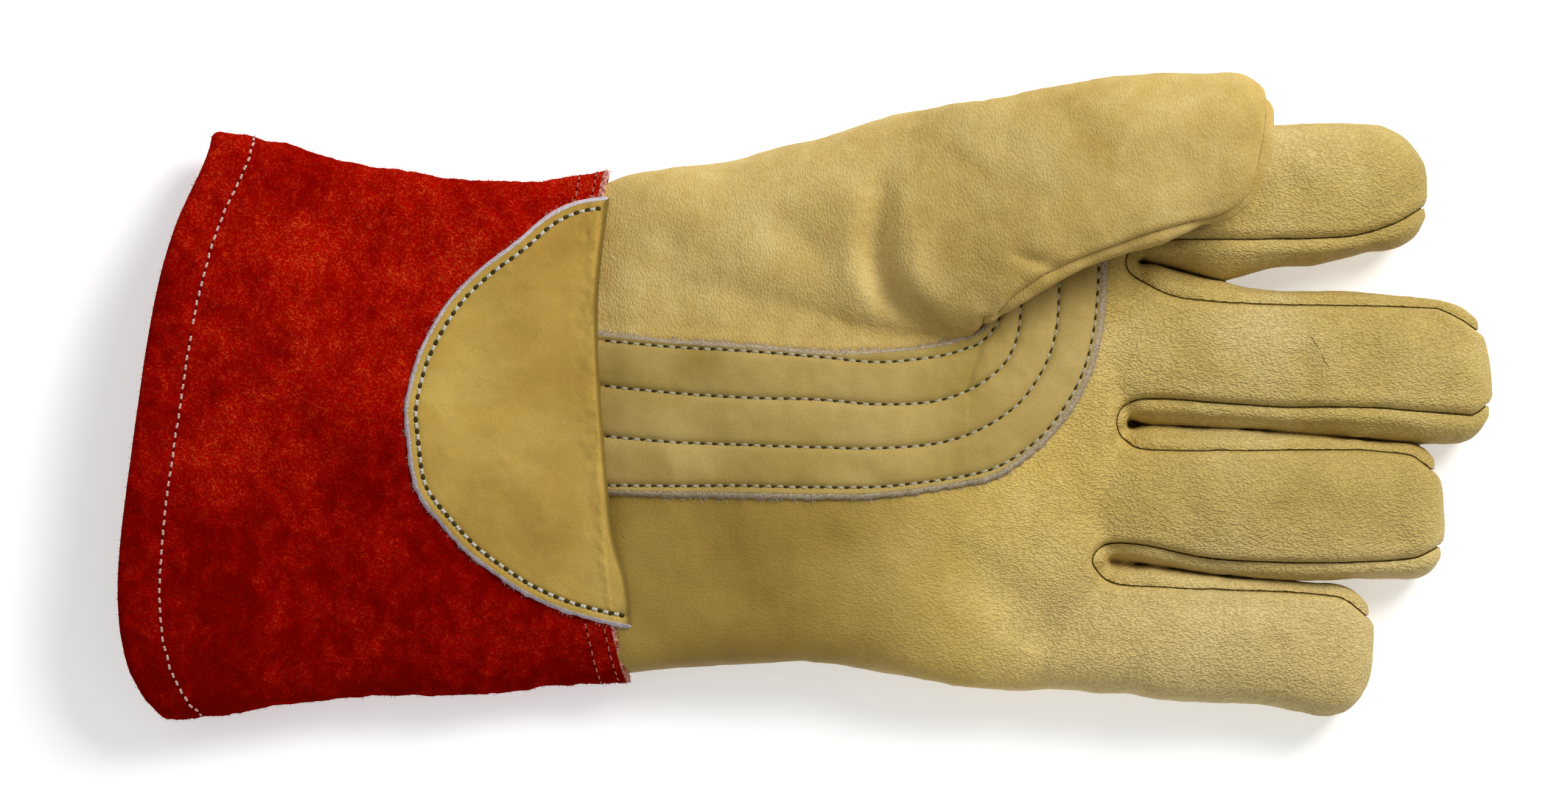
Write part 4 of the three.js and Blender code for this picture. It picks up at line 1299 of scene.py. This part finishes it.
# Columns: height, size and seed of each noise.
TAB_LUMPS = [(0.14, 9, 17.9), (0.03, 2.4, 19.1)]
TAB_RAGGED = [(0.12, 1.6, 25.3)]
FOLD_REACH = 1.3
FOLD_TOP = 1.9
FOLD_LEVEL = 7.5


def even_line(line, count):
    """A curve through the points of a line, as count points evenly apart."""
    dense = curve_of(line, 3000)
    walked = walked_along(dense)
    stops = np.linspace(0, walked[-1], count)
    return np.column_stack([np.interp(stops, walked, dense[:, k]) for k in range(dense.shape[1])])


def wrist_ground(plan):
    """What the tab lies on: the cuff, and past its end the hand."""
    on_cuff, on_hand = down_on(cuff_tree, plan), top_of(form_tree, plan)
    return np.fmax(np.nan_to_num(on_cuff, nan=-9), np.nan_to_num(on_hand, nan=-9))


tab, t, s = sheet_grid("wrist_tab_leather", TAB_ROUND, TAB_ACROSS)
fold, arc = even_line(TAB_FOLD, 401), even_line(TAB_ARC, 401)
stop = np.rint(t * 400).astype(int)
plan = fold[stop] * (1 - s)[:, None] + arc[stop] * s[:, None]
flat = in_plan(plan)
from_arc = np.where(s > 0.999, 0, distance_from(in_plan(arc), flat))
from_fold = np.where(s < 0.001, 0, distance_from(in_plan(fold), flat))
ground = wrist_ground(plan)
ground = np.where(ground < 2, np.nanmedian(ground), ground)
laid_order = np.lexsort((s, t))
evened = ground[laid_order].reshape(-1, TAB_ACROSS + 1)
for _ in range(TAB_EVEN):
    wider = np.pad(evened, 1, mode="edge")
    evened = (wider[:-2, 1:-1] + wider[2:, 1:-1] + wider[1:-1, :-2] + wider[1:-1, 2:]) / 4
grid_fold = from_fold[laid_order].reshape(-1, TAB_ACROSS + 1)
for row, away in zip(evened, grid_fold):
    level = np.interp(FOLD_LEVEL, away, row)
    row += (level - row) * (1 - smoothstep(away, FOLD_LEVEL - 3, FOLD_LEVEL + 1))
over_ground = np.empty(len(ground))
over_ground[laid_order] = evened.ravel()
over_ground = np.maximum(over_ground, ground - 0.2)
slope = smoothstep(from_arc, -0.4, TAB_RAW - 0.2)
body = TAB_TOP * slope - GROOVE * np.exp(-(((from_arc - TAB_STITCH) / GROOVE_WIDE) ** 2))
nose = np.sqrt(np.maximum(1 - (np.maximum(FOLD_REACH - from_fold, 0) / FOLD_REACH) ** 2, 0))
past_fold = np.maximum(from_fold - 1.6, 0)
roll = (FOLD_TOP - TAB_TOP) * np.exp(-((past_fold / 5.5) ** 2)) * smoothstep(from_arc, 1, 6)
height = body + roll + lumpy(flat, TAB_LUMPS)
ragged = lumpy(flat, TAB_RAGGED) * (from_arc < 0.6)
top = over_ground + np.maximum(height, CLEAR + 0.3)
top = ground + CLEAR + 0.1 + np.maximum(top - ground - CLEAR - 0.1, 0.1) * nose
points = np.column_stack([plan + ragged[:, None], top])
move_points(tab, points)
note(tab, "raw", 1 - smoothstep(from_arc, TAB_RAW - 0.45, TAB_RAW + 0.2))
# painted shade: the last millimetre or so of the fold is painted darker
note(tab, "fold_painted_shade", 0.9 * (1 - smoothstep(from_fold, 0.5, 1.5)))
thickened(tab, ground)
turn_outward()
dressed(tab, TAB_FINISH, "smooth_leather", "wrist_tab")
tab_tree, patch_tree = tree_of(tab), tree_of(patch)

# %% [markdown]
# ## Stitches
# One stitch is modelled, a short arched roll of thread, and copied along each row with a needle
# hole between it and the next: a small dark shape, painted shade where the thread dives into the
# hide. The rows on the leather are grey, the rows on the suede pinkish.

# %% Stitches
PATCH_PITCH = 2.9
TAB_PITCH = 2.74
SUEDE_PITCH = 2.35
THREAD_THICK = 0.44
HEM_THICK = 0.33
BURIED_THICK = 0.2
THREAD_SHARE = 0.6
SUEDE_SHARE = 0.76
HOLE_SIZE = (0.72, 0.6, 0.3)
SUEDE_HOLE_SIZE = (0.5, 0.26, 0.12)
STITCH_LIFT = 0.14
HEM_LIFT = 0.02
HOLE_LIFT = 0.1
SWAY = 0.16


def stitch_shape(name, long, thick):
    """One stitch along X: a ball drawn out into a roll whose ends dip."""
    deselect_all()
    lying = (0, math.pi / 2, 0)
    bpy.ops.mesh.primitive_uv_sphere_add(segments=8, ring_count=6, radius=1, rotation=lying)
    stitch = bpy.context.object
    stitch.name = name
    bpy.ops.object.transform_apply(location=False, rotation=True, scale=False)
    round_points = points_of(stitch) * MM
    x = np.sign(round_points[:, 0]) * np.abs(round_points[:, 0]) ** 0.8
    z = round_points[:, 2] * thick - 0.34 * x**4
    move_points(stitch, np.column_stack([x * long / 2, round_points[:, 1] * thick, z]))
    bpy.ops.object.shade_smooth()
    return stitch


def hole_shape(size):
    deselect_all()
    bpy.ops.mesh.primitive_uv_sphere_add(segments=8, ring_count=4, radius=1)
    hole = bpy.context.object
    move_points(hole, points_of(hole) * MM * np.array(size))
    bpy.ops.object.shade_smooth()
    return hole


def row_frames(line, pitch, normal_at):
    """Places, directions and normals at each half pitch along a line in space."""
    walked = walked_along(line)
    steps = int(walked[-1] / pitch) * 2
    stops = np.linspace(0, walked[-1], steps + 1)
    places = np.column_stack([np.interp(stops, walked, line[:, k]) for k in range(3)])
    trios = zip(places, np.gradient(places, axis=0), normal_at(places))
    return [(Vector(place), Vector(ahead).normalized(), Vector(up)) for place, ahead, up in trios]


def standing(place, ahead, normal, lift):
    """The matrix that stands a shape along X on a place, its top along the normal."""
    side = normal.cross(ahead).normalized()
    up = ahead.cross(side)
    turn = Matrix((ahead, side, up)).transposed().to_4x4()
    return Matrix.Translation((place + up * lift) * MM) @ turn


def set_copies(name, shape, matrices):
    """Copies of a shape at each matrix, joined into one piece."""
    copies = []
    for matrix in matrices:
        copy = shape.copy()
        copy.data = shape.data.copy()
        copy.data.transform(matrix)
        scene.collection.objects.link(copy)
        copies.append(copy)
    deselect_all()
    for copy in copies:
        copy.select_set(True)
    bpy.context.view_layer.objects.active = copies[0]
    bpy.ops.object.join()
    piece = bpy.context.object
    piece.name = name
    return piece


def sewn(name, rows, long, finish, hole_shade, hole_size, slot, lift, thick=THREAD_THICK):
    """Stitches, and needle holes painted dark as painted shade, along rows of frames, as two pieces."""
    rng = random.Random(name)
    stitch, hole = stitch_shape("stitch", long, thick), hole_shape(hole_size)
    stitches, holes = [], []
    for frames in rows:
        for k, (place, ahead, normal) in enumerate(frames):
            if k % 2:
                sway = normal.cross(ahead) * rng.uniform(-SWAY, SWAY)
                ahead = (ahead + sway).normalized()
                stitches.append(standing(place, ahead, normal, lift))
            else:
                holes.append(standing(place, ahead, normal, HOLE_LIFT))
    dressed(set_copies(name + "_stitches", stitch, stitches), finish, slot)
    dressed(set_copies(name + "_holes", hole, holes), hole_shade, slot)
    discard(stitch, hole)


def upwards(tree):
    """A function that gives a surface's normals under places, evened towards straight up."""

    def normal_at(places):
        found = [tree.find_nearest(Vector(p) * MM)[1] for p in places]
        return [(Vector(n) + Vector((0, 0, 1))).normalized() for n in found]

    return normal_at


def laid_line(tree, line):
    """A line in plan dropped on a surface, without what misses it."""
    heights = down_on(tree, line)
    keep = ~np.isnan(heights)
    return np.column_stack([line[keep], heights[keep]])


def patch_line(name):
    """A stitch row of the patch, up to where it goes under the tab and the thumb."""
    line = even_line(PATCH_LINES[name], 700)
    keep = (line[:, 0] > -48) & (line[:, 1] < 33)
    return laid_line(patch_tree, line[keep])


patch_rows = [row_frames(patch_line(name), PATCH_PITCH, upwards(patch_tree)) for name in ROW_NAMES]
on_leather = (LEATHER_HOLE_SHADE, HOLE_SIZE, "smooth_leather", STITCH_LIFT)
sewn("patch", patch_rows, PATCH_PITCH * THREAD_SHARE, GREY_THREAD, *on_leather)

arc_points = even_line(TAB_ARC, 700)
inwards = np.column_stack([-np.gradient(arc_points[:, 1]), np.gradient(arc_points[:, 0])])
inwards /= np.linalg.norm(inwards, axis=1)[:, None]
inside_line = arc_points + inwards * TAB_STITCH
inside_line = inside_line[distance_from(in_plan(fold), in_plan(inside_line)) > 2.0]
tab_rows = [row_frames(laid_line(tab_tree, inside_line), TAB_PITCH, upwards(tab_tree))]
sewn("tab", tab_rows, TAB_PITCH * THREAD_SHARE, PALE_THREAD, *on_leather)

# %% [markdown]
# The hem row runs once round the cuff parallel to its rim, and two rows run round its wrist end.

# %% Rows on the cuff
WRIST_ROWS = (2.6, 6.9)
RESTING = 0.5


def round_line(distance, from_start):
    """A line once round the cuff, at a distance in from its rim or wrist end."""
    lengths = np.linspace(0, 1, 161)
    line = []
    for share in np.linspace(0, 1, 721)[:-1]:
        across = cuff_surface(lengths, np.full_like(lengths, share))
        if not from_start:
            across = across[::-1]
        walked = walked_along(across)
        line.append([np.interp(distance, walked, across[:, k]) for k in range(3)])
    return np.array(line + line[:1])


def on_cuff(line):
    """A line moved onto the cuff's surface, its resting side kept off the floor."""
    found = np.array([cuff_tree.find_nearest(Vector(p) * MM)[0] / MM for p in line])
    found[:, 2] = np.maximum(found[:, 2], RESTING)
    return found


def cuff_normal(places):
    """The cuff's normals at places, all turned away from its middle."""
    middle = np.array([0, -8, 12])
    normals = []
    for place in places:
        found = cuff_tree.find_nearest(Vector(place) * MM)[1]
        out = Vector(place - middle)
        out.x = 0
        normals.append(Vector(found if found.dot(out) > 0 else -found))
    return normals


hem_rows = [row_frames(on_cuff(round_line(HEM_ROW, True)), SUEDE_PITCH, cuff_normal)]
on_suede = (SUEDE_HOLE_SHADE, SUEDE_HOLE_SIZE, "suede")
sewn("hem", hem_rows, SUEDE_PITCH * SUEDE_SHARE, PINK_THREAD, *on_suede, HEM_LIFT, HEM_THICK)
wrist_lines = [on_cuff(round_line(distance, False)) for distance in WRIST_ROWS]
wrist_rows = [row_frames(line, SUEDE_PITCH, cuff_normal) for line in wrist_lines]
sewn("wrist", wrist_rows, SUEDE_PITCH * SUEDE_SHARE, WORN_THREAD, *on_suede, -HEM_LIFT, BURIED_THICK)

# %% [markdown]
# ## Loose fibres
# Suede has a fuzzy outline, and the cut edges of patch, tab and cuff end in pale fibres. Each
# fibre is a thin three-sided needle. There are thousands, so they are written as one mesh.

# %% Loose fibres
CUFF_FIBRES = 14000
CUFF_FIBRE_THICK = 0.07
PATCH_FIBRES = 1300
TAB_FIBRES = 866
EDGE_FIBRE_THICK = 0.05


def needles(name, roots, aims, thick, finish, slot):
    """Thin needles from roots along aims, as one closed mesh per fibre."""
    side = np.cross(aims, np.array([0.3, 0.5, 0.8]))
    side /= np.linalg.norm(side, axis=1)[:, None]
    other = np.cross(aims, side)
    other /= np.linalg.norm(other, axis=1)[:, None]
    corners = []
    for turn in (0, 2 * math.pi / 3, 4 * math.pi / 3):
        corners.append(roots + thick * (side * math.cos(turn) + other * math.sin(turn)))
    stacked = np.stack([*corners, roots + aims], 1).reshape(-1, 3)
    faces = []
    for k in range(0, len(stacked), 4):
        faces += [(k, k + 1, k + 3), (k + 1, k + 2, k + 3), (k + 2, k, k + 3), (k, k + 2, k + 1)]
    mesh = bpy.data.meshes.new(name)
    mesh.from_pydata((stacked * MM).tolist(), [], faces)
    piece = bpy.data.objects.new(name, mesh)
    scene.collection.objects.link(piece)
    work_on(piece)
    turn_outward()
    dressed(piece, finish, slot)


rng = np.random.default_rng(7)
skin = points_of(cuff)[:outside]
chosen = rng.choice(np.flatnonzero(skin[:, 2] > 0.6), CUFF_FIBRES, replace=False)
out = normals_of(cuff)[:outside][chosen]
aims = out + rng.normal(0, 0.75, (CUFF_FIBRES, 3))
aims /= np.linalg.norm(aims, axis=1)[:, None]
aims *= rng.uniform(0.35, 1.15, (CUFF_FIBRES, 1))
jitter = rng.normal(0, 0.35, (CUFF_FIBRES, 3))
roots = skin[chosen] + jitter - out * (jitter * out).sum(1, keepdims=True)
aims[:, 2] = np.maximum(aims[:, 2], 0.3 - roots[:, 2])
needles("cuff_fibres", roots - out * 0.1, aims, CUFF_FIBRE_THICK, FIBRE, "suede")


def edge_fibres(name, tree, edge_lines, count):
    """Pale fibres that stand out of cut edges, to either side and a little up."""
    parts = [even_line(line, count) for line in edge_lines]
    line = np.vstack(parts)
    tangent = np.vstack([np.gradient(part, axis=0) for part in parts])
    tangent /= np.linalg.norm(tangent, axis=1)[:, None]
    out = np.column_stack([tangent[:, 1], -tangent[:, 0]])
    heights = down_on(tree, line)
    keep = ~np.isnan(heights)
    line, out, heights = line[keep], out[keep], heights[keep]
    aims = np.column_stack([out * rng.normal(0, 0.8, (len(line), 1)), rng.uniform(0.1, 0.7, len(line))])
    aims += rng.normal(0, 0.35, aims.shape)
    aims /= np.linalg.norm(aims, axis=1)[:, None]
    aims *= rng.uniform(0.3, 0.9, (len(line), 1))
    roots = np.column_stack([line + out * rng.normal(0, 0.35, (len(line), 1)), heights - 0.05])
    needles(name, roots, aims, EDGE_FIBRE_THICK, PALE, "smooth_leather")


def pale_fibre():
    finish = Finish("pale_fibre", 0.9, 0.3)
    base = finish.tones(finish.noise(finish.mm, 1.2, 3), (0.3, "#A89682"), (0.7, "#D9CFC4"))
    return finish.done(base, finish.noise(finish.mm, 0.4), 0.02)


PALE = pale_fibre()
patch_edges = [PATCH_LINES["upper_edge"][:9], PATCH_LINES["lower_edge"][:12]]
edge_fibres("patch_fibres", patch_tree, patch_edges, PATCH_FIBRES)
edge_fibres("tab_fibres", tab_tree, [TAB_ARC], TAB_FIBRES)

# %% [markdown]
# ## Face count
# The leather may stand a little proud of its CAD solid, but the glove keeps its size. The
# number of faces in the scene is printed.

# %% Face count
meshes = [thing.data for thing in scene.objects if thing.type == "MESH"]
print("faces in the scene:", sum(len(mesh.polygons) for mesh in meshes))
